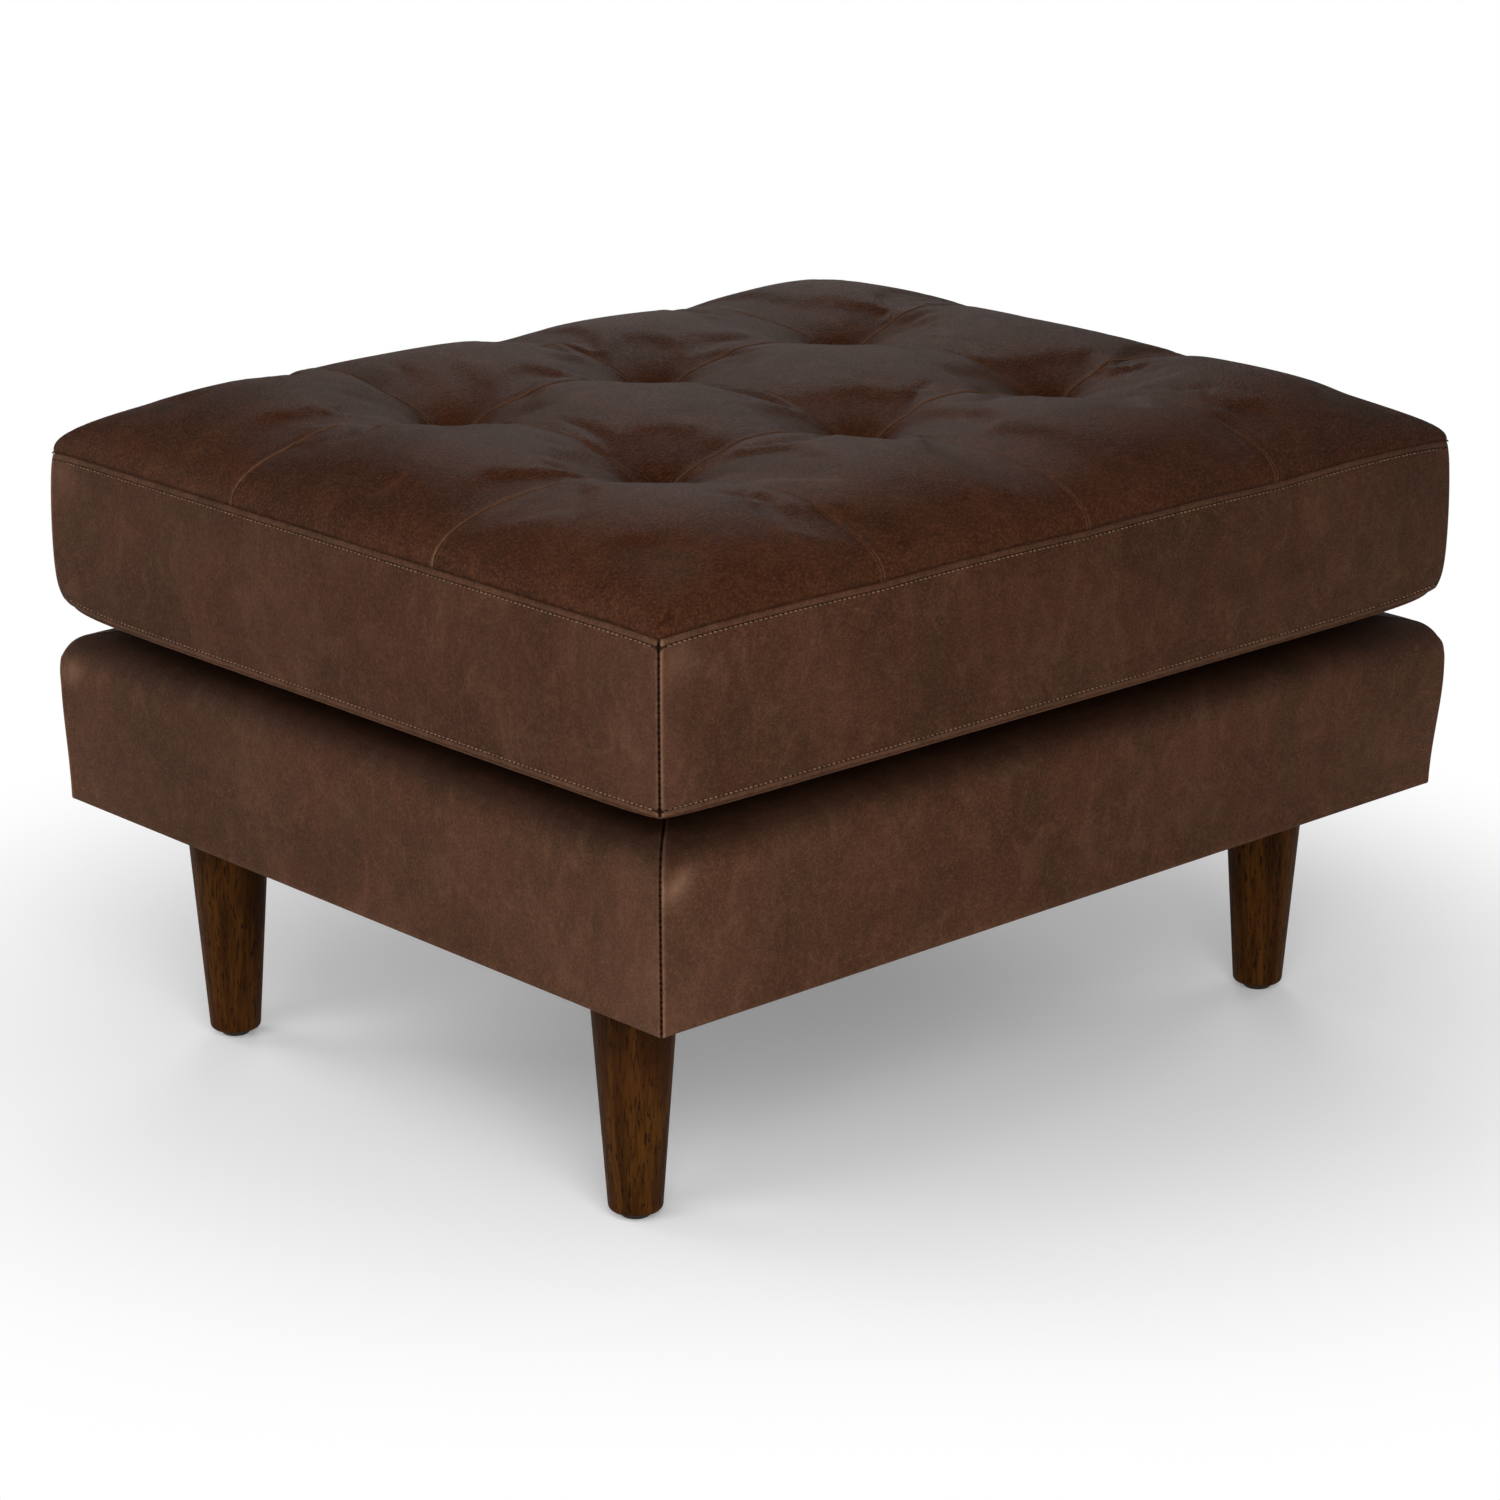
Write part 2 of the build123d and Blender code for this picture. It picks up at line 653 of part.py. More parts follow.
slider_x = zip_half_length - slider_end_gap - slider_length / 2
with BuildPart() as zip_slider:
    with BuildSketch(Plane.XZ.offset(-(coil_face + slider_gap))):
        with Locations((slider_x, boxing_middle)):
            Rectangle(slider_length, slider_width)
    extrude(amount=-slider_plate)
    with BuildSketch(Plane.XZ.offset(-slider_back)):
        with Locations((slider_x, boxing_middle)):
            Rectangle(slider_length, slider_width)
    extrude(amount=-slider_inner_plate)
    fillet(zip_slider.edges().filter_by(Axis.Y), slider_width / 4)
    with BuildSketch(Plane.XZ.offset(-slider_back)):
        with Locations((slider_x, boxing_middle)):
            Rectangle(slider_length / 2, slider_web)
    extrude(amount=-(coil_face + slider_gap - slider_back))
save(zip_slider, "zip_slider")

print("tuft bottom", top_height(*tuft_places[0]), "underside of the cushion", cushion_bottom, "top seam", boxing_top, "deck", deck_top)
print("crown of a middle panel", top_height(panel_x / 2, 0), "of a corner one",
      top_height(half_x - panel_x / 2, half_y - panel_y / 2))
print("slider at x", slider_x, "can travel", 2 * slider_x)
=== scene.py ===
# %% [markdown]
# # A leather ottoman with a loose, blind-tufted cushion
# A box cushion of twelve sewn leather panels lies on a low upholstered base with four turned legs.
# Every leather piece is a grid surface: a shape of two parameters, worked out with numpy as whole arrays.
# The lesson goes from the camera to the leather, the cushion, the base, the legs and the light.

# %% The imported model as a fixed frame
import json
import math

import bpy
import numpy as np
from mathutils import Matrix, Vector

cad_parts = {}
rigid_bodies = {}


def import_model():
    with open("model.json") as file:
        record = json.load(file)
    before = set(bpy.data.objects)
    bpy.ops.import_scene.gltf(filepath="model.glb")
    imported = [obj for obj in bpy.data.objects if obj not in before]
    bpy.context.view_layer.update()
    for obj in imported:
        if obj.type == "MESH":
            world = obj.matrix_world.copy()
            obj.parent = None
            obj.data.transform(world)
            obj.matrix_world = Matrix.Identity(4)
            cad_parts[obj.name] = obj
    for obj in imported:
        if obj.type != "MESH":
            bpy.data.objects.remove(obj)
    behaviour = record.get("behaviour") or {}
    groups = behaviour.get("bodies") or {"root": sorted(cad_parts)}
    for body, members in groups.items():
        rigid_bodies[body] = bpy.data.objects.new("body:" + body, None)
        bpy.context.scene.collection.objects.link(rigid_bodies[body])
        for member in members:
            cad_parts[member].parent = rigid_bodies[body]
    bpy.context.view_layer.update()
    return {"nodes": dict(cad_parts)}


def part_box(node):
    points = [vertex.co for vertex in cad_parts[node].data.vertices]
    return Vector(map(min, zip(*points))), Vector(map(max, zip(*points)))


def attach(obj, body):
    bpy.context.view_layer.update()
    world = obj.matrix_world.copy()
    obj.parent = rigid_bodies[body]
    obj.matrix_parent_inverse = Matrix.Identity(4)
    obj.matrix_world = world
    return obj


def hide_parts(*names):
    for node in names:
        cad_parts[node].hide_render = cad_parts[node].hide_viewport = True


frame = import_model()
MM = 0.001
nodes = frame["nodes"]

# %% [markdown]
# ## The camera
# The real view was solved from straight edges and corners: a long lens that looks past the near corner.
# It is placed by its direction and its distance from a point in the middle of the ottoman, so the
# numbers say what a photographer would say.

# %% Camera
view_turn = math.radians(-42.677)
view_rise = math.radians(17.717)
view_distance = 2.9478
view_aim = Vector((-0.0020, 0.0019, 0.1922))
lens = 101.69

back = Vector((math.sin(view_turn) * math.cos(view_rise),
               -math.cos(view_turn) * math.cos(view_rise),
               math.sin(view_rise)))


def placed(name, data, place, direction):
    """A new object at a place, looking along a direction."""
    made = bpy.data.objects.new(name, data)
    bpy.context.scene.collection.objects.link(made)
    made.location = place
    made.rotation_mode = "QUATERNION"
    made.rotation_quaternion = direction.to_track_quat("-Z", "Y")
    return made


camera = placed("camera", bpy.data.cameras.new("camera"), view_aim + back * view_distance, -back)
camera.data.lens = lens
camera.data.clip_end = 60.0
bpy.context.scene.camera = camera
print("camera at", [round(v, 3) for v in camera.location])

# %% [markdown]
# ## Shader sums in plain Python
# A material is a graph of nodes, and most of them are sums. One class wraps an output socket, so that
# a plus or a times in Python adds its Math node, and one method adds any other node. The graph then
# reads like the formula that it stands for.

# %% Shader helpers
class Wire:
    """An output socket of a material's graph. Python's operators on it add Math nodes."""

    def __init__(self, bench, socket):
        self.bench = bench
        self.socket = socket

    def math(self, operation, *values):
        return self.bench.node("Math", {"operation": operation}, dict(enumerate(values)))["Value"]

    def __add__(self, other):
        return self.math("ADD", self, other)

    def __sub__(self, other):
        return self.math("SUBTRACT", self, other)

    def __rsub__(self, other):
        return self.math("SUBTRACT", other, self)

    def __mul__(self, other):
        return self.math("MULTIPLY", self, other)

    def __truediv__(self, other):
        return self.math("DIVIDE", self, other)

    def __pow__(self, other):
        return self.math("POWER", self, other)

    def __mod__(self, other):
        return self.math("FLOORED_MODULO", self, other)

    __radd__ = __add__
    __rmul__ = __mul__

    def most(self, other):
        return self.math("MAXIMUM", self, other)

    def least(self, other):
        return self.math("MINIMUM", self, other)

    def size(self):
        return self.math("ABSOLUTE", self)

    def sine(self):
        return self.math("SINE", self)

    def ramp(self, low, high, start=0.0, end=1.0):
        """A smooth step: start up to low, end from high on."""
        values = {"Value": self, "From Min": low, "From Max": high, "To Min": start, "To Max": end}
        return self.bench.node("MapRange", {"interpolation_type": "SMOOTHSTEP"}, values)["Result"]


class Bench:
    """The graph of one material or world. A material's shader is the one that the finish ends in."""

    def __init__(self, name, owner=None):
        self.owner = owner or bpy.data.materials.new(name)
        self.owner.use_nodes = True
        self.tree = self.owner.node_tree
        self.shader = self.tree.nodes.get("Principled BSDF")

    def join(self, value, socket):
        if isinstance(value, Wire):
            self.tree.links.new(value.socket, socket)
        else:
            socket.default_value = value

    def node(self, kind, settings=None, values=None):
        """Adds a node of that type: its settings first, and then the values or links of its sockets."""
        made = self.tree.nodes.new("ShaderNode" + kind)
        for name, setting in (settings or {}).items():
            setattr(made, name, setting)
        for name, value in (values or {}).items():
            if isinstance(name, int):
                socket = made.inputs[name]
            else:
                socket = next(s for s in made.inputs if s.enabled and s.name == name)
            self.join(value, socket)
        return {s.name: Wire(self, s) for s in made.outputs if s.enabled}

    def finish(self, tone, rough, height=None, depth=0.0, specular=0.5, **others):
        """Joins colour, roughness, a bump of that height and depth, gloss and other sockets to the
        shader, and gives the material."""
        values = {"Base Color": tone, "Roughness": rough, "Specular IOR Level": specular, **others}
        if height is not None:
            values["Normal"] = self.bump(height, depth)
        for name, value in values.items():
            self.join(value, self.shader.inputs[name])
        return self.owner

    def noise(self, place, scale, detail=3.0, rough=0.55, twist=0.0):
        values = {"Vector": place, "Scale": scale, "Detail": detail, "Roughness": rough, "Distortion": twist}
        return self.node("TexNoise", {}, values)["Fac"]

    def mix(self, factor, first, second):
        settings = {"data_type": "RGBA", "blend_type": "MIX", "clamp_factor": True}
        return self.node("Mix", settings, {"Factor": factor, "A": first, "B": second})["Result"]

    def layers(self, tone, *layers):
        """Lays colours over a tone, one after the other, each by its own factor."""
        for factor, over in layers:
            tone = self.mix(factor, tone, over)
        return tone

    def creases(self, place, scale, width):
        """Cells with valleys between them: 0 in a valley, and 1 from its width on."""
        values = {"Vector": place, "Scale": scale, "Randomness": 1.0}
        cells = self.node("TexVoronoi", {"feature": "DISTANCE_TO_EDGE"}, values)
        return cells["Distance"].ramp(0.0, width)

    def seen(self, *kinds):
        """1 for the rays of these kinds and 0 for the others."""
        rays = self.node("LightPath")
        first, *others = [rays[f"Is {kind} Ray"] for kind in kinds]
        for other in others:
            first = first.most(other)
        return first

    def split(self, vector, axes="XYZ"):
        return [self.node("SeparateXYZ", {}, {"Vector": vector})[axis] for axis in axes]

    def stretch(self, place, *scale):
        return self.node("Mapping", {}, {"Vector": place, "Scale": scale})["Vector"]

    def objects(self):
        return self.node("TexCoord")["Object"]

    def uv(self):
        return self.node("TexCoord")["UV"]

    def measure(self, name):
        return self.node("Attribute", {"attribute_name": name})["Fac"]

    def bump(self, height, depth, under=None):
        values = {"Height": height, "Distance": depth, "Strength": 1.0}
        if under is not None:
            values["Normal"] = under
        return self.node("Bump", {}, values)["Normal"]


def colour(red, green, blue, times=1.0):
    """A colour as a screen shows it, 0 to 255, as the linear colour that the shader takes."""
    shares = np.minimum(np.array([red, green, blue]) * times, 255) / 255
    linear = np.where(shares <= 0.04045, shares / 12.92, ((shares + 0.055) / 1.055) ** 2.4)
    return (*[float(v) for v in linear], 1.0)


print("white paint as linear colour:", [round(v, 3) for v in colour(246, 246, 247)])

# %% [markdown]
# ## Aniline leather
# The hide is dyed through and waxed, so it shows clouds of red-brown, dark and greenish brown, with
# finer blotches inside them and faint up-and-down streaks on the sides. The grain is a fine pebble with
# a few creases. Where the leather is folded over a seam it is stretched and rubbed, so it turns tan.
# One formula serves three copies whose brightness is painted light and shade: the top is painted darkest, the
# boxing lighter and the base's covers lightest.
# The surfaces carry measures for this as attributes: worn, the rubbing from 0 to 1, which on the base's covers
# also carries a painted highlight; deep, how far down in a seam, round a tuft or under the cushion a point
# lies, used for painted shade; row, the distance from the nearest row of stitches, along which a band of shade
# is painted; and along, the place along that row, which gives the needle holes, painted dark as shade.

# %% Leather
stitch_pitch = 4.0 * MM
row_in = 5.0 * MM


def leather_finish(name, streaked, painted_brightness, grain):
    """Brown aniline leather. Streaked is how much the clouds are drawn out upwards, the brightness factor
    painted shade on the top and painted light on the base's covers, as shares of red, green and blue, and grain
    the share of fine specks."""
    bench = Bench(name)
    cut = bench.node("Attribute", {"attribute_name": "cut"})["Vector"]
    place = bench.node("VectorMath", {"operation": "ADD"}, {0: bench.objects(), 1: cut})["Vector"]
    drawn = bench.stretch(place, 1.0, 1.0, 1.0 - 0.35 * streaked)
    patches = bench.noise(drawn, 8.0, 2.0, 0.5, 1.2)
    clouds = bench.noise(drawn, 15.0, 3.0, 0.6, 0.8)
    shades = bench.noise(drawn, 42.0, 4.0, 0.65, 1.0)
    blotches = bench.noise(bench.stretch(place, 1.0, 1.0, 1.0 - 0.10 * streaked), 150.0, 4.0, 0.65, 0.6)
    specks = bench.noise(place, 520.0, 2.0, 0.6)
    pebble = bench.creases(place, 560.0, 0.22)
    cracks = bench.creases(bench.stretch(place, 1.0, 1.0, 0.6), 95.0, 0.05)
    worn, row, along = (bench.measure(label) for label in ("worn", "row", "along"))
    # Rubbing turns the leather tan; on the base's covers worn also holds a painted highlight beside the corner
    # seam.
    wear_and_highlight = (worn * (0.35 + 1.1 * blotches) * clouds.ramp(0.36, 0.56, 0.65, 1.0)).least(1.0)
    reach = ((along / stitch_pitch) % 1.0 - 0.5) * stitch_pitch
    hole = 1 - ((row * row + reach * reach) ** 0.5).ramp(0.6 * MM, 1.25 * MM)
    # Painted light and shade: the four tints are scaled by this copy's brightness factor.
    red, green, dark, pale = (colour(*tint, painted_brightness) for tint in
                              ((80, 49, 34), (74, 49, 33), (46, 28, 18), (112, 79, 60)))
    tone = bench.layers(
        green,
        (clouds.ramp(0.36, 0.62), red),
        (patches.ramp(0.48, 0.66) * 0.28, dark),
        ((1 - patches).ramp(0.50, 0.70) * 0.16, pale),
        (shades.ramp(0.48, 0.72) * 0.34, dark),
        ((1 - shades).ramp(0.50, 0.70) * 0.30, pale),
        (blotches.ramp(0.50, 0.68) * 0.18, pale),
        ((1 - blotches).ramp(0.50, 0.70) * 0.20, dark),
        (specks.ramp(0.50, 0.66) * grain, pale),
        ((1 - specks).ramp(0.50, 0.66) * grain * 1.1, dark),
        # Painted shade: the grain's creases are darkened.
        ((1 - pebble) * 0.28, dark),
        (wear_and_highlight, colour(134, 99, 78)),
        # Painted shade: the deep measure darkens the leather in seams, round tufts and under the cushion.
        (bench.measure("deep") * 0.9, colour(18, 10, 7)),
        # Painted shade: the needle holes, and a band along each row of stitches, are darkened.
        ((hole * 0.9).most(0.62 * (1 - row.ramp(0.5 * MM, 1.3 * MM))), colour(20, 11, 8)))
    normal = bench.bump(pebble + specks, 0.30 * MM)
    normal = bench.bump(cracks * 0.25 + shades * 0.9 + hole * -1.2, 0.45 * MM, normal)
    return bench.finish(tone, 0.50 + 0.16 * blotches - 0.08 * clouds + 0.10 * worn, specular=0.04,
                        **{"Normal": normal, "Specular Tint": colour(255, 222, 194)})


# One leather in three copies that differ by painted shade: the top painted darker, the base's covers painted
# lighter.
shaded_top_leather = leather_finish("leather_top", 0.0, (0.89, 0.775, 0.65), 0.5)
boxing_leather = leather_finish("leather_boxing", 1.0, (0.98, 0.97, 0.96), 0.28)
lit_base_leather = leather_finish("leather_base", 1.0, (1.06, 1.06, 1.05), 0.28)
print("leather: 3 finishes of", len(lit_base_leather.node_tree.nodes), "shader nodes")

# %% [markdown]
# ## Grid surfaces
# A leather piece is a grid of points: its columns run along the seam and its rows across. The formula
# gives the stretched leather, and then each sewn edge adds its relief along the surface's own normals:
# the leather swells into a small lip and dives into the seam. Places are close together near the
# edges, where the shape changes fast, and wide apart in the middle.

# %% Grid helpers
leather = 1.5 * MM
panel_step = 3.6 * MM
band_step = 3.2 * MM
underside_step = 7 * MM


def stations(start, stop, spacing, first=0.2 * MM, growth=1.5):
    """Places from start to stop. Each step from an end is growth times the one before, up to spacing."""
    steps = first * growth ** np.arange(1 + math.floor(math.log(spacing / first) / math.log(growth)))
    near = np.concatenate(([0.0], np.cumsum(steps)))
    count = max(2, round((stop - start - 2 * near[-1]) / spacing) + 1)
    middle = np.linspace(start + near[-1], stop - near[-1], count)
    return np.concatenate((start + near[:-1], middle, stop - near[-2::-1]))


def joined(*parts):
    """Arrays of the same shape as one, with the parts along its last axis: x, y and z as points."""
    return np.stack(parts, axis=-1)


def embossed(points, relief):
    """The grid moved by its relief along its unit normals, the columns' direction crossed with the rows'."""
    normal = np.cross(np.gradient(points, axis=1), np.gradient(points, axis=0))
    size = np.maximum(np.linalg.norm(normal, axis=-1, keepdims=True), 1e-12)
    return points + normal / size * relief[..., None]


def edge_distances(points):
    """How far each point is from the first and last column and row, measured along the grid's lines."""
    found = []
    for axis in (1, 0):
        steps = np.linalg.norm(np.diff(points, axis=axis), axis=-1)
        start = np.zeros_like(np.take(steps, [0], axis=axis))
        run = np.concatenate((start, np.cumsum(steps, axis=axis)), axis=axis)
        found += [run, np.take(run, [-1], axis=axis) - run]
    return found


def hump(distance, place, width):
    """A bell: e to the minus square of the distance from place over width, which are in millimetres."""
    return np.exp(-(((distance - place * MM) / (width * MM)) ** 2))


def fade(distance, reach):
    """1 at no distance, and e times less with each reach, which is in millimetres."""
    return np.exp(-distance / (reach * MM))


def sewn_edge(distance, lip, depth=1.4, run=0.45, lip_place=2.0, lip_width=1.3):
    """The relief beside a seam, its sizes in millimetres: a bell-shaped lip, less a dive that fades over
    run from the edge."""
    dive = depth * np.exp(-((distance / (run * MM)) ** 1.5))
    return MM * (lip * hump(distance, lip_place, lip_width) - dive)


def faces_of(rows, columns):
    """The four-sided faces of a grid, first row and column first, seen from outside."""
    index = np.arange(rows * columns).reshape(rows, columns)
    return joined(index[:-1, :-1], index[:-1, 1:], index[1:, 1:], index[1:, :-1]).reshape(-1, 4)


def make_mesh(name, points, faces, measures=None, uv=None):
    """A smooth mesh object from points and faces, with its measures as attributes and a UV map."""
    mesh = bpy.data.meshes.new(name)
    mesh.from_pydata(points.reshape(-1, 3).tolist(), [], faces.reshape(-1, 4).tolist())
    for label, values in (measures or {}).items():
        kind, field = ("FLOAT_VECTOR", "vector") if values.ndim == 2 else ("FLOAT", "value")
        attribute = mesh.attributes.new(label, kind, "POINT")
        attribute.data.foreach_set(field, values.astype(np.float32).ravel())
    if uv is not None:
        corner = np.zeros(len(mesh.loops), np.int32)
        mesh.loops.foreach_get("vertex_index", corner)
        layer = mesh.uv_layers.new(name="plan")
        layer.data.foreach_set("uv", uv.reshape(-1, 2)[corner].astype(np.float32).ravel())
    mesh.shade_smooth()
    made = bpy.data.objects.new(name, mesh)
    bpy.context.scene.collection.objects.link(made)
    return made


def finish_piece(made, body, finish, slot, *stands_for):
    """Gives a piece its material and its body, and hides the nodes that it stands for; the slot is not used."""
    made.data.materials.append(finish)
    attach(made, body)
    if stands_for:
        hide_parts(*stands_for)


def thicken(made, thickness):
    """Gives a skin its real thickness, on its inner side, with closed rims."""
    wall = made.modifiers.new("thickness", "SOLIDIFY")
    wall.thickness = thickness
    wall.offset = -1.0


def welded(made):
    """Closes the seam where a surface meets itself."""
    weld = made.modifiers.new("weld", "WELD")
    weld.merge_threshold = 0.001 * MM
    return made


def leather_piece(node, points, measures, body, finish):
    """A leather skin for a node, from a grid of points: attributes, plan, thickness and frame calls. Its
    cut is where it lies in the hide, taken from its name, so that no two pieces show the same clouds."""
    name = node + "_leather"
    size = points.shape[0] * points.shape[1]
    flat = {label: values.reshape(-1) for label, values in measures.items()}
    for label in ("worn", "deep", "row", "along"):
        flat.setdefault(label, np.full(size, 1.0 if label == "row" else 0.0))
    total = sum(map(ord, name))
    flat["cut"] = np.tile(np.array([total % 7, total % 5, total % 3]) * 0.37, (size, 1))
    left, _, low, _ = edge_distances(points)
    made = make_mesh(name, points, faces_of(*points.shape[:2]), flat, joined(left, low))
    finish_piece(made, body, finish, "leather", node)
    thicken(made, leather)
    return made


print("leather skins are", leather / MM, "mm thick")

# %% [markdown]
# ## Sewing thread
# A topstitch is a row of short dashes of tan thread that sink into the leather at both ends. Each
# stitch is one small bent tube, six-sided, and a whole row is one mesh: the template is copied to
# every place at once with the row's own directions.

# %% Thread
thread_sides = 6
thread_shares = np.array([0.0, 0.18, 0.5, 0.82, 1.0])


def thread_finish(name, tint):
    """Waxed thread: two plies that show as slanted bands along each stitch, a little worn."""
    bench = Bench(name)
    u, v = bench.split(bench.uv(), "XY")
    ply = ((u * 5.0 + v) % 1.0 - 0.5).size().ramp(0.1, 0.4)
    grime = bench.noise(bench.objects(), 160.0, 3.0)
    tone = bench.layers(colour(*tint), (grime.ramp(0.35, 0.7), colour(*tint, 0.62)),
                        (ply * 0.5, colour(*tint, 0.55)))
    return bench.finish(tone, 0.6 + 0.2 * grime, ply, 0.12 * MM, 0.3)


tan_thread = thread_finish("thread_tan", (152, 114, 86))
brown_thread = thread_finish("thread_brown", (146, 108, 80))


def stitches(name, places, along, out, length, radius, height, finish, body, slot="leather"):
    """A row of stitches: a tube along each stitch, bowed out by height in its middle and sunk by
    one radius at its ends. Places are the row's middles, and along and out its tangents and normals."""
    count, rings = len(places), len(thread_shares)
    along, out = (np.broadcast_to(way, places.shape) for way in (along, out))
    turn = np.tile(2 * np.pi * np.arange(thread_sides) / thread_sides, rings)
    share = np.repeat(thread_shares, thread_sides)
    girth = np.repeat(radius * np.array([0.45, 1.0, 1.0, 1.0, 0.45]), thread_sides)
    x = (share - 0.5) * length
    y = (1 - (2 * share - 1) ** 2) * (height + radius) - radius + girth * np.cos(turn)
    z = girth * np.sin(turn)
    points = (places[:, None] + x[:, None] * along[:, None] + y[:, None] * out[:, None]
              + z[:, None] * np.cross(along, out)[:, None])
    ring = np.arange(rings * thread_sides).reshape(rings, thread_sides)
    shifted = np.roll(ring, -1, axis=1)
    walls = joined(ring[:-1], shifted[:-1], shifted[1:], ring[1:]).reshape(-1, 4)
    caps = np.array([[3, 2, 1, 0], [5, 4, 3, 0], [24, 25, 26, 27], [24, 27, 28, 29]])
    faces = np.concatenate((walls, caps)) + (np.arange(count) * rings * thread_sides)[:, None, None]
    uv = np.tile(joined(share, turn / (2 * np.pi)), (count, 1))
    made = make_mesh(name, points, faces, {}, uv)
    finish_piece(made, body, finish, slot)
    print(name, count, "stitches")


# %% [markdown]
# ## The cushion's top
# Four columns by three rows of panels are sewn together, and six twines pull their crossings down into
# blind tufts. Between the tufts the fibre under the leather pushes each panel up into a pillow, and at
# the outer edge the top comes up almost straight from the boxing's seam before it rounds over. It could
# be sculpted, but a formula keeps all twelve panels matched to the solids under them.

# %% Top surface
columns, rows = 4, 3
row_names = ["front", "middle", "back"]
seam_left, seam_front, seam_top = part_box("top_panel_front_1")[0]
half_x, half_y = -seam_left, -seam_front
panel_x, panel_y = 2 * half_x / columns, 2 * half_y / rows
tufts = [(x, y) for x in (-panel_x, 0.0, panel_x) for y in (-panel_y / 2, panel_y / 2)]
crown_rise = 38.0 * MM
crown_reach = 107.0 * MM
crown_power = 1.9
crown_fullness = 0.45
corner_power = 3.0
corner_tip = 1.1 * MM
pillow_rise = 6.0 * MM
edge_swell = 1.0 * MM
corner_drop = 1.4 * MM
slack_spots = [(half_x, -half_y, 7.5 * MM, 95 * MM), (160 * MM, 250 * MM, 4.5 * MM, 115 * MM),
               (285 * MM, 140 * MM, -4 * MM, 60 * MM), (-190 * MM, 255 * MM, -3.5 * MM, 55 * MM)]
tuft_depth = 33.0 * MM
tuft_reach = 26.0 * MM


def edge_rise(distance):
    """1 less the power of the share of the reach that is left, and that to the fullness."""
    share = np.clip(distance / crown_reach, 0, 1)
    return (1 - (1 - share) ** crown_power) ** crown_fullness


def within_panel(place, size):
    """Where a place lies in its panel: -1 and 1 at the seams, 0 in the middle."""
    return 2 * ((place / size) % 1) - 1


def cornering(x, y, power):
    """1 at the cushion's four corners and falling away from them with a power of both places."""
    return np.abs(x / half_x * y / half_y) ** power


def puckers(x, y):
    """Folds that fan out from each tuft: a sine of the angle whose height grows and then fades with the
    distance. Near the twine there are a few deep folds, and further out more and finer ones."""
    total = np.zeros_like(x)
    for number, (tuft_x, tuft_y) in enumerate(tufts):
        away = np.hypot(x - tuft_x, y - tuft_y)
        turn = np.arctan2(y - tuft_y, x - tuft_x)
        wander = 0.5 * np.sin(2 * turn + 1.7 * number) + 0.3 * np.sin(3 * turn - number)
        deep = np.cos(8 * turn + wander) * (away / (9 * MM)) * fade(away, 11)
        fine = np.cos(19 * turn + 3 * wander + number) * (away / (40 * MM)) ** 2 * fade(away, 21)
        total += 1.5 * MM * deep + 0.42 * MM * fine
    return total


def cut_height(x, y):
    """The top leather as it is cut and sewn: the seam's height, a pillow in each panel, tauter along the
    back and the right, and a crown that rises from the edges, is slacker or fuller in a few spots, and
    dips exponentially round each tuft."""
    across, along = (np.maximum(edge_rise(d), 1e-6) for d in (half_x - np.abs(x), half_y - np.abs(y)))
    rise = (across**-corner_power + along**-corner_power - 1) ** (-1 / corner_power)
    slack = sum(drop * np.exp(-(((x - spot_x) ** 2 + (y - spot_y) ** 2) / reach**2))
                for spot_x, spot_y, drop, reach in slack_spots)
    across = 1 - within_panel(x + half_x, panel_x) ** 2
    along = 1 - within_panel(y + half_y, panel_y) ** 2
    dips = sum(tuft_depth * np.exp(-np.hypot(x - tx, y - ty) / tuft_reach) for tx, ty in tufts)
    taut = np.clip(np.maximum(x / half_x - 0.45, y / half_y - 0.35) / 0.4, 0, 1)
    pillow = (pillow_rise * along * (1 - 0.55 * taut) + edge_swell * (1 + taut)) * across
    corner = corner_drop * cornering(x, y, 22)
    return seam_top + leather - corner + pillow + rise * (crown_rise - slack - dips + puckers(x, y))


print("top: seam at", round(seam_top / MM, 1), "mm, crown", crown_rise / MM, "mm above it")

# %% [markdown]
# ## How the top leather settles
# Fibre pushes the leather out, but the seams and tufts hold it, so the spare leather buckles into soft
# folds between them. A cloth simulation finds these folds: the whole top as one cloth, a little larger
# than its place, pinned at its outer seam and at the tufts and blown up from below. Only the change of
# height is kept, and every panel is moved by it, so that the sharp seams can still come from formulas.

# %% Simulated settling
cloth_step = 5.0 * MM
spare_leather = 0.03
settle_most = 2.1 * MM
settle_frames = 20
pin_reach, edge_reach = 7 * MM, 60 * MM
settle_x = np.linspace(-half_x, half_x, round(2 * half_x / cloth_step) + 1)
settle_y = np.linspace(-half_y, half_y, round(2 * half_y / cloth_step) + 1)


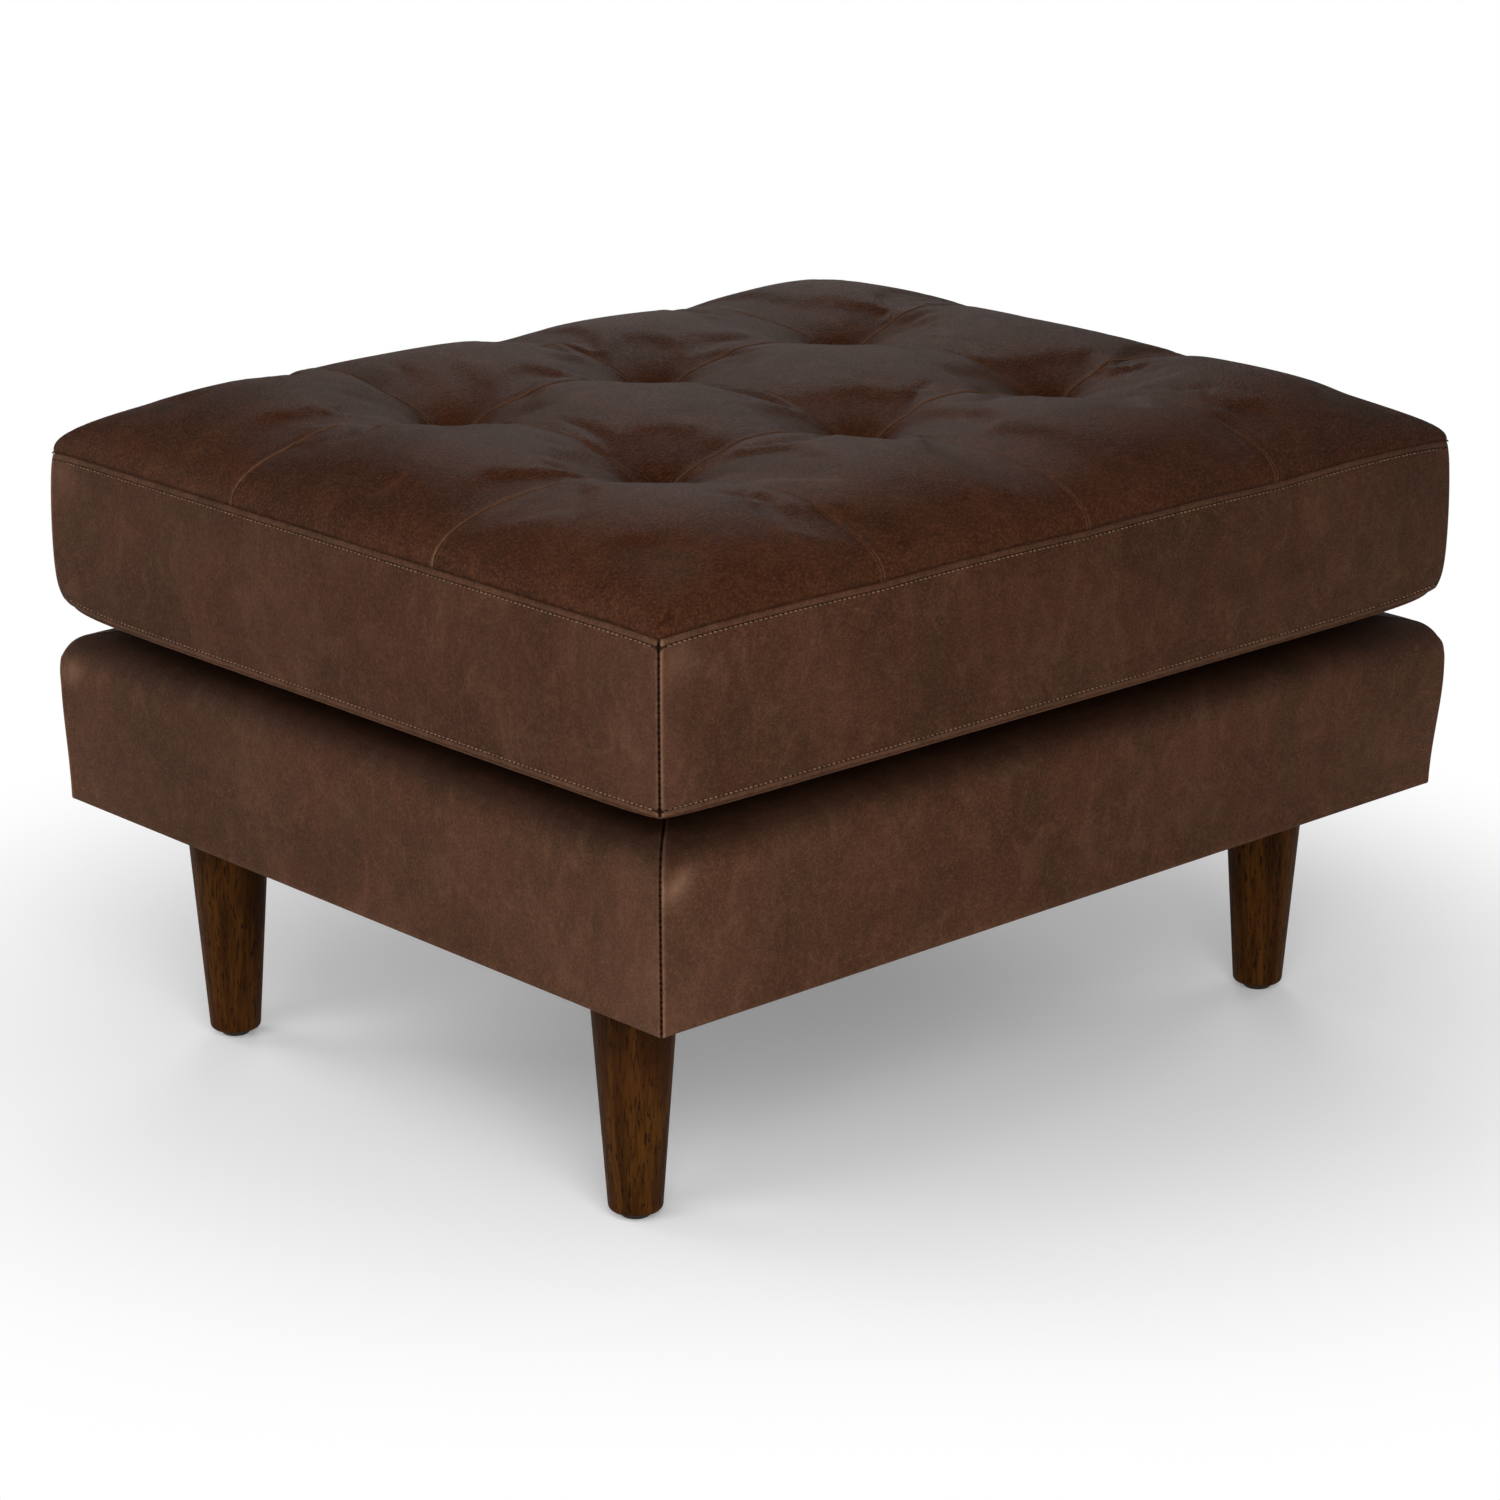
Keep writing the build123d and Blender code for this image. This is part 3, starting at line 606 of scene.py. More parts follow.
def simulated_settling():
    """The change of height of each point of the cloth after the simulation, capped on both sides."""
    x, y = np.meshgrid(settle_x, settle_y)
    start = joined(x, y, cut_height(x, y))
    cloth = make_mesh("settling_cloth", start, faces_of(*x.shape))
    edge = np.minimum(half_x - np.abs(x), half_y - np.abs(y))
    held = (edge < 1 * MM).astype(float)
    for tuft_x, tuft_y in tufts:
        held = np.maximum(held, (np.hypot(x - tuft_x, y - tuft_y) < pin_reach).astype(float))
    pins = cloth.vertex_groups.new(name="held")
    pins.add(np.flatnonzero(held).tolist(), 1.0, "REPLACE")
    sim = cloth.modifiers.new("settling", "CLOTH")
    sim.point_cache.frame_start = 1
    sim.point_cache.frame_end = settle_frames
    sim.settings.effector_weights.gravity = 0.0
    for rule, value in {
        "quality": 6, "mass": 0.35, "tension_stiffness": 20.0, "compression_stiffness": 20.0,
        "shear_stiffness": 8.0, "bending_stiffness": 0.6, "vertex_group_mass": "held",
        "shrink_min": -spare_leather, "use_pressure": True, "uniform_pressure_force": 1.0,
    }.items():
        setattr(sim.settings, rule, value)
    for frame_number in range(1, settle_frames + 1):
        bpy.context.scene.frame_set(frame_number)
    settled = cloth.evaluated_get(bpy.context.evaluated_depsgraph_get()).data
    places = np.zeros(3 * x.size)
    settled.vertices.foreach_get("co", places)
    change = places.reshape(*x.shape, 3)[..., 2] - start[..., 2]
    bpy.data.objects.remove(cloth)
    bpy.context.scene.frame_set(1)
    print("settling: from", round(change.min() / MM, 1), "to", round(change.max() / MM, 1), "mm")
    return settle_most * np.tanh((change - change.mean()) / settle_most) * np.clip(edge / edge_reach, 0, 1)


settling = simulated_settling()


def cubic_weights(part):
    """The four weights of a cubic curve through evenly spaced values, at a part of the middle step."""
    return ((-part + 2 * part**2 - part**3) / 2, (2 - 5 * part**2 + 3 * part**3) / 2,
            (part + 4 * part**2 - 3 * part**3) / 2, (part**3 - part**2) / 2)


def settled_by(x, y):
    """The settling at any place: cubic curves through the cloth's rows and columns."""
    last_x, last_y = len(settle_x) - 1, len(settle_y) - 1
    across = (x + half_x) / (2 * half_x) * last_x
    along = (y + half_y) / (2 * half_y) * last_y
    column = np.clip(np.floor(across).astype(int), 0, last_x - 1)
    line = np.clip(np.floor(along).astype(int), 0, last_y - 1)
    total = np.zeros_like(across)
    for i, weight_y in enumerate(cubic_weights(along - line)):
        for j, weight_x in enumerate(cubic_weights(across - column)):
            found = settling[np.clip(line + i - 1, 0, last_y), np.clip(column + j - 1, 0, last_x)]
            total += weight_y * weight_x * found
    return total


def top_height(x, y):
    """The finished top: the leather as it is sewn, and how it settled."""
    return cut_height(x, y) + settled_by(x, y)


# %% [markdown]
# ## Twelve panels
# Each panel is cut from its own piece of hide and sewn to its neighbours. The formula's grid is cut at
# the seams, and each panel adds its own lips, dives and rubbed edges there. Pressing the seams open
# turns most of the rubbed edge to one side, so the pale line lies on the right and the near side.

# %% Top panels
def drawn_in(x, y, tuck, height):
    """A grid over the cushion's plan, drawn in towards the middle by the tuck."""
    return joined(x * (1 - tuck / half_x), y * (1 - tuck / half_y), height)


def top_panel(row, column):
    """One panel of the top, between its seams, with relief at all four."""
    x = stations(-half_x + column * panel_x, -half_x + (column + 1) * panel_x, panel_step)
    y = stations(-half_y + row * panel_y, -half_y + (row + 1) * panel_y, panel_step)
    x, y = np.meshgrid(x, y)
    points = drawn_in(x, y, corner_tip * cornering(x, y, 60), top_height(x, y))
    edges = edge_distances(points)
    left, right, near, far = edges
    outer = [column == 0, column == columns - 1, row == 0, row == rows - 1]
    relief = sum(sewn_edge(d, 0.0, depth=0.3) if out else sewn_edge(d, lip)
                 for d, out, lip in zip(edges, outer, (0.15, 0.6, 0.6, 0.15)))
    from_left = x + half_x
    pleat = (hump(y + half_y, 3.2, 0.8) * np.clip(from_left / (3 * MM), 0, 1)
             * (from_left < 15 * MM))
    points = embossed(points, relief - 1.2 * MM * pleat)
    worn = (0.9 * hump(right, 1.0, 0.6) + 0.2 * hump(left, 1.2, 0.6)
            + (0.55 if row else 0.2) * hump(near, 1.1, 0.6) + 0.2 * hump(far, 1.2, 0.6))
    # Painted shade: deep darkens the leather in the seams, round each tuft and in the pleat.
    deep = (sum(hump(d, 0, 0.4) * (0.25 if out else 1) for d, out in zip(edges, outer))
            + sum(0.45 * hump(np.hypot(x - tx, y - ty), 0, 13) for tx, ty in tufts) + 0.8 * pleat)
    measures = {"worn": np.clip(worn, 0, 1), "deep": np.clip(deep, 0, 1)}
    return leather_piece(f"top_panel_{row_names[row]}_{column + 1}", points, measures, "cushion", shaded_top_leather)


panels = [top_panel(row, column) for row in range(rows) for column in range(columns)]
highest = max(v.co.z for panel in panels for v in panel.data.vertices)
print("top:", len(panels), "panels, highest point", round(highest / MM, 1))

# %% [markdown]
# ## The boxing
# The boxing is the upright leather band round the cushion. It swells a little in its middle and puckers
# beside its seams, and its bands meet in upright corner seams. The two rows of topstitching pull a
# groove into it 5 mm from each seam, and the strip between groove and seam stands up as a lip.

# %% Boxing
corner_round = 2.5 * MM
seam_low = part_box("boxing_front")[0].z
belly = 2.2 * MM
corner_tuck = 6.0 * MM
corner_lift = 5.0 * MM
SIDES = {
    "front": np.array([(1.0, 0.0, 0.0), (0.0, -1.0, 0.0)]),
    "right": np.array([(0.0, 1.0, 0.0), (1.0, 0.0, 0.0)]),
    "back": np.array([(-1.0, 0.0, 0.0), (0.0, 1.0, 0.0)]),
    "left": np.array([(0.0, -1.0, 0.0), (-1.0, 0.0, 0.0)]),
}


def side_half(side, across_x, across_y):
    """Half of the side's length, and its distance out from the middle."""
    return (across_x, across_y) if side in ("front", "back") else (across_y, across_x)


def mitre_end(half):
    """Where a side's face ends: on the mitre, halfway round the corner."""
    return half - corner_round * (1 - math.sin(math.pi / 4))


def rounding(along, half):
    """How far a face is drawn back near its ends, on a quarter round that ends at the mitre."""
    into = np.clip(np.abs(along) - (half - corner_round), 0, corner_round * math.sin(math.pi / 4))
    return corner_round - np.sqrt(corner_round**2 - into**2)


def side_points(side, along, outward, height):
    """Points on a side from their place along it, their distance out and their height."""
    direction, out = SIDES[side]
    points = along[..., None] * direction + np.asarray(outward)[..., None] * out
    points[..., 2] = height
    return points


def edge_places(side, along):
    """The seams' x and y along a side."""
    half, reach = side_half(side, half_x, half_y)
    edge = side_points(side, np.clip(along, -half, half), reach, 0.0)
    return edge[..., 0], edge[..., 1]


def slackness(x, y):
    """How much a bottom corner is tucked in: the front left corner hangs down almost straight."""
    return np.where(x > 0, 1.0, np.where(y < 0, 0.2, 1.3))


def seam_height(x, y):
    """The bottom seam, which lifts at the corners with the tenth power of the place along the side."""
    return seam_low - 1.2 * MM + corner_lift * slackness(x, y) * cornering(x, y, 10)


def gathers(along, distance, seed):
    """Small puckers beside a seam: two sines along it that fade away from it."""
    ripple = np.sin(along / (2.6 * MM) + seed) + 0.7 * np.sin(along / (4.1 * MM) + 2.3 * seed)
    return 0.16 * MM * ripple * fade(distance, 9)


def boxing_surface(side, along, share, low=None, high=None):
    """The boxing at a place along the side and a share of its height: it swells out between its seams
    all the way round, is drawn back at its ends, and its bottom corners are tucked in."""
    half, reach = side_half(side, half_x, half_y)
    x, y = edge_places(side, along)
    bottom = seam_height(x, y) if low is None else low
    top = top_height(x, y) if high is None else high
    height = bottom + share * (top - bottom)
    whole = np.clip((height - seam_low) / (seam_top - seam_low), 0, 1)
    end = np.abs(along / half)
    wave = np.sin(np.pi * whole)
    swell = (belly * wave**0.6 - corner_tuck * slackness(x, y) * end**30 * np.exp(-whole / 0.07)
             - corner_tip * end**60 * np.exp(-(1 - whole) / 0.05))
    cloud = 0.5 * MM * np.sin(along / (46 * MM) + 2) * np.sin(3 * whole + along / (80 * MM)) * wave
    outward = reach + swell + cloud * (1 - end**6) - rounding(along, half)
    return side_points(side, along * (1 + swell / half), outward, height)


def stitch_groove(distance, ends):
    """The relief beside a topstitched seam: a lip between seam and stitches, which fades towards the
    upright seams at its ends, and the stitches' groove."""
    whole = 1 - np.exp(-((ends / (4 * MM)) ** 2))
    return (sewn_edge(distance, 0.3 * whole, depth=0.6, lip_place=2.6, lip_width=1.5)
            - 0.45 * MM * whole * hump(distance - row_in, 0, 0.9))


def corner_seam(distance):
    """The relief beside an upright corner seam: worn flanks and a deep narrow groove."""
    return sewn_edge(distance, 0.15, 1.1, 0.4, 1.6, 1.2)


def flank_wear(left, right):
    """The rubbing beside the upright seams: a pale band on each one's right and a faint one on its left."""
    return 0.75 * hump(left, 1.7, 1.0) + 0.2 * hump(right, 1.5, 0.8)


def strip_measures(worn, ends, seams, holes, along, points):
    """What the leather needs to know: its wear, its depth in a seam, which is painted dark as shade, and the
    nearest row of holes, which is a topstitch or, closer to the corner, the upright seam, whose holes are
    counted by height."""
    upright = ends < holes
    deep = np.maximum(0.8 * hump(ends, 0, 0.4), 0.25 * hump(seams, 0, 0.4))
    return {"worn": np.clip(worn, 0, 1), "deep": deep,
            "row": np.where(upright, ends, holes), "along": np.where(upright, points[..., 2], along)}


def boxing_strip(side):
    """A whole side of the boxing, with its two topstitched seams and its two corner seams."""
    half, _ = side_half(side, half_x, half_y)
    end = mitre_end(half)
    along, share = np.meshgrid(stations(-end, end, band_step), stations(0, 1, 0.035, 0.002))
    points = boxing_surface(side, along, share)
    left, right, low, high = edge_distances(points)
    ends = np.minimum(left, right)
    points = embossed(points, corner_seam(ends) + stitch_groove(low, ends) + stitch_groove(high, ends)
                      + gathers(along, high, 1.0) + gathers(along, low, 3.0))
    shoulder = hump(left, 14, 17) * hump(high, 15, 13)
    worn = (flank_wear(left, right) + 0.14 * hump(high, 2.6, 1.4)
            + 0.26 * hump(low, 2.4, 1.4) + 0.24 * shoulder + 0.10 * fade(ends, 40))
    holes = np.minimum(np.abs(low - row_in), np.abs(high - row_in))
    measures = strip_measures(worn, ends, np.minimum(low, high), holes, along + half, points)
    leather_piece(f"boxing_{side}", points, measures, "cushion", boxing_leather)


for side in ("front", "right", "left"):
    boxing_strip(side)
print("boxing: seams at", round(seam_low / MM, 1), "and", round(seam_top / MM, 1))

# %% [markdown]
# ## The back boxing and its zip
# The back band is two strips with a zip between them, so that the cover comes off for cleaning. Each
# strip's long edge is folded in at the zip. Past the zip's ends the strips meet in a plain seam.

# %% Back boxing
zip_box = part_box("zip_tapes")
zip_half = zip_box[1].x
zip_middle = (zip_box[0].z + zip_box[1].z) / 2
slot_half = 5.2 * MM
back_half = mitre_end(half_x)


def slot_edge(along):
    """Half the opening between the strips: the slot along the zip, closing over 6 mm at its ends."""
    return slot_half * np.clip((zip_half - np.abs(along)) / (6 * MM) + 0.5, 0, 1) + 0.1 * MM


for name, sign in (("lower", -1), ("upper", 1)):
    places = np.union1d(stations(-back_half, back_half, band_step),
                        [s * (zip_half + d * MM) for s in (-1, 1) for d in (-3, -1.5, 0, 1.5, 3)])
    along, share = np.meshgrid(places, stations(0, 1, 0.06, 0.003))
    fold = zip_middle + sign * slot_edge(along)
    outer = (seam_height if sign < 0 else top_height)(*edge_places("back", along))
    low, high = (outer, fold) if sign < 0 else (fold, outer)
    points = boxing_surface("back", along, share, low, high)
    left, right, first, last = edge_distances(points)
    sewn, folded = (first, last) if sign < 0 else (last, first)
    ends = np.minimum(left, right)
    rim = sewn_edge(folded, 0.3, 2.0, 0.9) - 0.4 * MM * hump(folded - row_in, 0, 0.9)
    points = embossed(points, corner_seam(ends) + stitch_groove(sewn, ends) + gathers(along, sewn, 2.0)
                      + rim)
    worn = (flank_wear(left, right) + 0.24 * hump(sewn, 2.4, 1.4)
            + 0.35 * hump(folded, 1.4, 1.2))
    holes = np.minimum(np.abs(sewn - row_in), np.abs(folded - row_in))
    measures = strip_measures(worn, ends, sewn, holes, along + half_x, points)
    leather_piece(f"boxing_back_{name}", points, measures, "cushion", boxing_leather)
print("back boxing: 2 strips, slot of", round(2 * zip_half / MM), "mm")

# %% [markdown]
# ## The cushion's underside
# The bottom panel rolls down from the seam and sags until it lies flat on the deck. It is one sheet
# whose depth is a product of two edge curves, so that its corners round off by themselves.

# %% Bottom panel
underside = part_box("bottom_panel")[0].z
sag_reach = 65.0 * MM


def sag(distance):
    """1 less a power of the share of the reach that is left, and that to a power below 1."""
    share = np.clip(distance / sag_reach, 0, 1)
    return (1 - (1 - share) ** 2.2) ** 0.55


def bottom_height(x, y):
    """The underside's height: down from the seam, which lifts at the corners, by the product of the sags."""
    drop = sag(half_x - np.abs(x)) * sag(half_y - np.abs(y))
    return seam_height(x, y) - (seam_height(x, y) - underside - 0.05 * MM) * drop


x, y = np.meshgrid(stations(-half_x, half_x, underside_step)[::-1], stations(-half_y, half_y, underside_step))
points = drawn_in(x, y, corner_tuck * slackness(x, y) * cornering(x, y, 30), bottom_height(x, y))
edges = edge_distances(points)
left, right, near, far = edges
points = embossed(points, sum(sewn_edge(d, 0.2) for d in edges))
corner = np.maximum(np.minimum(left, right), np.minimum(near, far))
worn = 0.3 * sum(hump(d, 1.4, 1.0) for d in edges) * (1 - fade(corner, 30))
leather_piece("bottom_panel", points, {"worn": np.clip(worn, 0, 1)}, "cushion", boxing_leather)
print("bottom panel rests at", round(underside / MM, 1))

# %% [markdown]
# ## Rows of stitches on the cushion
# The topstitching follows the boxing's own surface: the same formula gives the place, and the row's
# distance from the seam gives its height.

# %% Cushion stitches
def row_places(half):
    """The middles of the stitches along a side, one pitch apart, clear of the corners."""
    count = math.floor((2 * half - 12 * MM) / stitch_pitch)
    return (np.arange(count) - (count - 1) / 2) * stitch_pitch


for side in SIDES:
    half, reach = side_half(side, half_x, half_y)
    along = np.round((row_places(half) + half) / stitch_pitch) * stitch_pitch - half
    places = edge_places(side, along)
    for seam, height, length, thread in (("top", top_height(*places) - row_in, 2.8 * MM, brown_thread),
                                         ("bottom", seam_height(*places) + row_in, 2.9 * MM, tan_thread)):
        middles = side_points(side, along, reach + 0.4 * MM, height)
        stitches(f"thread_{seam}_{side}", middles, *SIDES[side], length, 0.45 * MM, 0.4 * MM, thread,
                 "cushion")

# %% [markdown]
# ## The base's covers
# One leather panel covers each side of the base. It starts folded in under the rail, turns up round the
# rail's lower edge, stands straight, rolls over the top edge and is carried in over the deck to a
# border. The profile is a list of straight runs and arcs, carried along the side, and it is drawn in
# by the mitre, so that neighbouring panels meet at the corners.

# %% Base covers
base_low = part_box("base_cover_left")[0]
base_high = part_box("base_cover_right")[1]
base_x, base_y = base_high.x, -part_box("base_cover_front")[0].y
base_bottom = base_low.z
deck_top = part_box("base_cover_front")[1].z
border = 80.0 * MM
turn_under = 25.0 * MM
roll = 16.0 * MM
edge_round = 1.6 * MM
deck_drop = 12.7 * MM
deck_slope = math.atan(deck_drop / border)
edge_hang = 1.3 * MM
sink_start, crown_start, shade_start, ramp_height = 88 * MM, 90 * MM, 93 * MM, 20 * MM
shade_floor = 200 * MM
deck_corner_sink = 3.5 * MM
side_swell = 2.6 * MM
fold_in, fold_up = 13 * MM, 102 * MM
roll_points, deck_points = 11, 21


def cover_profile():
    """The cover's section, as inset from the face and height: in under the rail, an arc round its lower
    edge, the upright side, the roll and the deck's slope."""
    under = joined(np.linspace(turn_under, edge_round, 7), np.full(7, base_bottom))
    turn = np.linspace(0, np.pi / 2, 7)[1:]
    foot = joined(edge_round * (1 - np.sin(turn)), base_bottom + edge_round * (1 - np.cos(turn)))
    turned = np.pi / 2 - deck_slope
    roll_start = deck_top - deck_drop - roll * math.tan(turned / 2)
    side = joined(np.zeros(26), np.linspace(base_bottom + edge_round, roll_start, 27)[1:])
    turn = np.linspace(0, turned, roll_points + 1)[1:]
    over = joined(roll * (1 - np.cos(turn)), roll_start + roll * np.sin(turn))
    deck = np.linspace(over[-1], (border, deck_top), deck_points + 1)[1:]
    return np.concatenate((under, foot, side, over, deck))


def corner_sink(x, y):
    """The deck's corners are rounded off: a drop with the 30th power of the places along both sides."""
    return deck_corner_sink * np.minimum(np.abs(x / base_x * y / base_y), 1) ** 30


def base_surface(side, along, inset, height):
    """The cover at a share of the side's length, from -1 to 1, and its section's inset and height. It
    swells out a little, most near the right front corner, and its foot hangs below the rail."""
    half, reach = side_half(side, base_x, base_y)
    end = mitre_end(half)
    place = along * end
    upright = np.clip((height - base_bottom) / (deck_top - base_bottom), 0, 1)
    across, depth = SIDES[side]
    corner = [place / half * across[i] + depth[i] for i in (0, 1)]
    lean = 1 + 0.9 * np.clip(corner[0] - corner[1], 0, 2) ** 4 / 16
    puff = side_swell * lean * np.sin(np.pi * upright**1.6)
    cloud = 0.4 * MM * np.sin(place / (52 * MM) + 1) * upright * (1 - np.abs(along) ** 6)
    outward = reach - inset - rounding(place, half) + puff + cloud
    points = side_points(side, place * ((end - inset) / end + puff / end), outward, height)
    upper = np.clip((height - base_bottom - sink_start) / ramp_height, 0, 1)
    lower = np.exp(-(((height - base_bottom) / (12 * MM)) ** 2) - (inset / (6 * MM)) ** 2)
    points[..., 2] -= upper * corner_sink(points[..., 0], points[..., 1]) + edge_hang * lower
    return points


def base_cover(side):
    """One cover, with its corner seams, the soft fold and a painted highlight beside the seam on its left, its
    worn foot, and painted shade where the cushion lies over it."""
    half, _ = side_half(side, base_x, base_y)
    end = mitre_end(half)
    along, inset = np.meshgrid(stations(-end, end, panel_step) / end, section[:, 0])
    height = np.repeat(section[:, 1:], along.shape[1], axis=1)
    points = base_surface(side, along, inset, height)
    left, right, hem, sewn = edge_distances(points)
    ends = np.minimum(left, right)
    rise = hem - turn_under
    fold = np.hypot((left - fold_in) / (14 * MM), (rise - fold_up - 0.4 * left) / (7 * MM))
    # A painted highlight: a pale spot beside the seam on the left, added to worn, which also lifts the painted
    # shade there.
    painted_highlight = np.hypot((left - fold_in) / (13 * MM), (rise - fold_up + 3 * MM - 0.3 * left) / (9 * MM))
    points = embossed(points, corner_seam(left) + corner_seam(right)
                      + sewn_edge(sewn, 0.3, depth=1.2) + 0.9 * MM * np.exp(-fold**2))
    points[..., 2] = np.maximum(points[..., 2], base_bottom - edge_hang - 0.3 * MM)
    crown = np.clip((height - base_bottom - crown_start) / ramp_height, 0, 1) * (inset < 20 * MM)
    foot = hump(np.abs(rise), 2, 2.5) * (0.25 + 0.75 * fade(ends, 55))
    # The pale spot in worn is the painted highlight.
    worn = (flank_wear(left, right) + 0.5 * foot + 0.30 * crown * fade(ends, 7)
            + 0.8 * np.exp(-painted_highlight**2) + 0.28 * fade(np.hypot(ends, rise), 65) * (rise > 0))
    measures = strip_measures(worn, ends, sewn, np.abs(sewn - row_in), along * end + half, points)
    # Painted shade under the cushion: the cover is darkened where the cushion lies over it, less at the painted
    # highlight.
    covered = np.clip((height - base_bottom - shade_start) / ramp_height, 0, 1) * (height > shade_floor)
    painted_cushion_shade = 0.72 * covered**1.5 * (1 - 0.9 * np.exp(-painted_highlight**2))
    measures["deep"] = np.maximum(measures["deep"], painted_cushion_shade)
    leather_piece(f"base_cover_{side}", points, measures, "base", lit_base_leather)


section = cover_profile()
for side in SIDES:
    base_cover(side)
for side in SIDES:
    half, reach = side_half(side, base_x - border + row_in, base_y - border + row_in)
    along = row_places(half + 6 * MM)
    direction, out = SIDES[side]
    normal = out * math.sin(deck_slope) + np.array([0, 0, math.cos(deck_slope)])
    height = deck_top - row_in * math.tan(deck_slope) + 0.1 * MM
    stitches(f"thread_deck_{side}", side_points(side, along, reach, height), direction, normal, 2.8 * MM,
             0.42 * MM, 0.3 * MM, tan_thread, "base")
print("base covers: 4, with", len(section), "points in the section")

# %% [markdown]
# ## Walnut legs
# The legs are turned from walnut and oiled: dark brown, with straight grain down the leg, fine dark
# pores and slow bands of lighter and redder wood. Each leg is a lathe shape, a profile turned round its
# axis, with a small round at the foot.

# %% Walnut
def walnut_finish():
    """Oiled walnut with its grain along the height."""
    bench = Bench("walnut")
    place = bench.objects()
    slow = bench.noise(bench.stretch(place, 1.0, 1.0, 0.06), 95.0, 3.0, 0.6, 0.5)
    grain = bench.noise(bench.stretch(place, 1.0, 1.0, 0.035), 520.0, 4.0, 0.65)
    pores = bench.noise(bench.stretch(place, 1.0, 1.0, 0.16), 640.0, 2.0, 0.5, 0.4)
    pore = pores.ramp(0.56, 0.64)
    tone = bench.layers(colour(52, 27, 4), (slow.ramp(0.38, 0.64), colour(82, 48, 13)),
                        (grain.ramp(0.42, 0.66) * 0.6, colour(40, 22, 7)),
                        (pore * 0.75, colour(18, 9, 3)),
                        (bench.noise(place, 14.0, 2.0).ramp(0.45, 0.7) * 0.3, colour(76, 40, 15)))
    return bench.finish(tone, 0.46 + 0.2 * grain, grain * 0.5 - pore, 0.2 * MM, 0.04)


def nylon_finish():
    """Dark moulded nylon, faintly mottled, scuffed lighter where it rubs on the floor."""
    bench = Bench("glide_nylon")
    place = bench.objects()
    cloud = bench.noise(place, 240.0, 4.0)
    height, = bench.split(place, "Z")
    tone = bench.layers(colour(30, 22, 17), (cloud.ramp(0.3, 0.7), colour(44, 33, 26)),
                        ((1 - height.ramp(0.0, 1.6 * MM)) * cloud, colour(88, 80, 74)))
    return bench.finish(tone, 0.45 + 0.3 * cloud, cloud, 0.08 * MM, 0.4)


walnut = walnut_finish()
glide_nylon = nylon_finish()


def turned(node, kind, profile, finish, slot, sides=96):
    """A lathe shape for a node: the profile's radius and height turned round its upright axis."""
    low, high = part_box(node)
    centre = (low + high) / 2
    turn = 2 * np.pi * np.arange(sides + 1) / sides
    radius = profile[:, :1]
    height = np.repeat(profile[:, 1:], sides + 1, axis=1)
    points = joined(centre.x + radius * np.cos(turn), centre.y + radius * np.sin(turn), height)
    uv = joined(np.tile(turn, (len(profile), 1)), height)
    made = welded(make_mesh(f"{node}_{kind}", points, faces_of(*height.shape), {}, uv))
    finish_piece(made, "base", finish, slot, node)


def arc(centre, radius, start, stop, count):
    """Points of an arc, as radius and height, from one angle to another in degrees."""
    turn = np.radians(np.linspace(start, stop, count))
    return joined(centre[0] + radius * np.cos(turn), centre[1] + radius * np.sin(turn))


foot_radius = 17.6 * MM
foot_round = 3.5 * MM
rim_round = 1.8 * MM
for place in ("front_left", "front_right", "back_left", "back_right"):
    low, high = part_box(f"leg_{place}")
    wide = (high.x - low.x) / 2
    taper = math.degrees(math.atan((wide - foot_radius) / (high.z - low.z)))
    foot = arc((foot_radius - foot_round, low.z + foot_round), foot_round, -90, -taper, 9)
    shaft = np.linspace(foot[-1], (wide - 0.6 * MM, high.z - 0.6 * MM), 40)[1:]
    flat = foot_radius - foot_round - 0.5 * MM
    profile = np.array([(0.0, low.z), (flat, low.z), *foot, *shaft, (wide - 0.9 * MM, high.z), (0.0, high.z)])
    turned(f"leg_{place}", "walnut", profile, walnut, "leg_wood")
    low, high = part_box(f"glide_{place}")
    wide = (high.x - low.x) / 2
    rim = arc((wide - rim_round, low.z + rim_round), rim_round, -90, 0, 7)
    profile = np.array([(0.0, low.z), *rim, (wide, high.z), (0.0, high.z)])
    turned(f"glide_{place}", "nylon", profile, glide_nylon, "glide_nylon", 64)
print("legs: 4, glides: 4")

# %% [markdown]
# ## The padding inside
# Inside the leather lie a foam core, a layer of fibre that fills the crown, a thin foam slab on the deck
# and wadding on the rails. They are cut and glued blocks with soft edges, so each is a closed surface: a
# rounded rectangle grows from a point, climbs the side, and shrinks to a point again on top.

# %% Foam and fibre finishes
def foam_finish(name, light, dark, cell):
    """Cut polyether foam: open cells as small pits painted dark as shade, with a slow yellowing."""
    bench = Bench(name)
    place = bench.objects()
    cells = bench.node("TexVoronoi", {"feature": "F1"}, {"Vector": place, "Scale": cell})["Distance"]
    slow = bench.noise(place, 9.0, 3.0)
    pit = cells.ramp(0.25, 0.6)
    tone = bench.layers(colour(*light), (slow.ramp(0.35, 0.65) * 0.5, colour(*dark)),
                        (pit * 0.4, colour(*dark, 0.6)))
    return bench.finish(tone, 0.85 + 0.1 * slow, 1 - pit, 0.5 * MM, 0.1)


def fibre_finish():
    """Polyester fibre: fine tangled strands, white, with hollows painted soft grey as shade."""
    bench = Bench("fibre")
    place = bench.objects()
    strands = bench.noise(place, 260.0, 6.0, 0.75, 3.0)
    hollows = bench.noise(place, 45.0, 3.0)
    tone = bench.layers(colour(205, 203, 197), (strands.ramp(0.35, 0.65), colour(238, 237, 232)),
                        (hollows.ramp(0.5, 0.75) * 0.4, colour(178, 175, 168)))
    return bench.finish(tone, 0.8 + 0.15 * strands, strands + hollows, 1.2 * MM, 0.1)


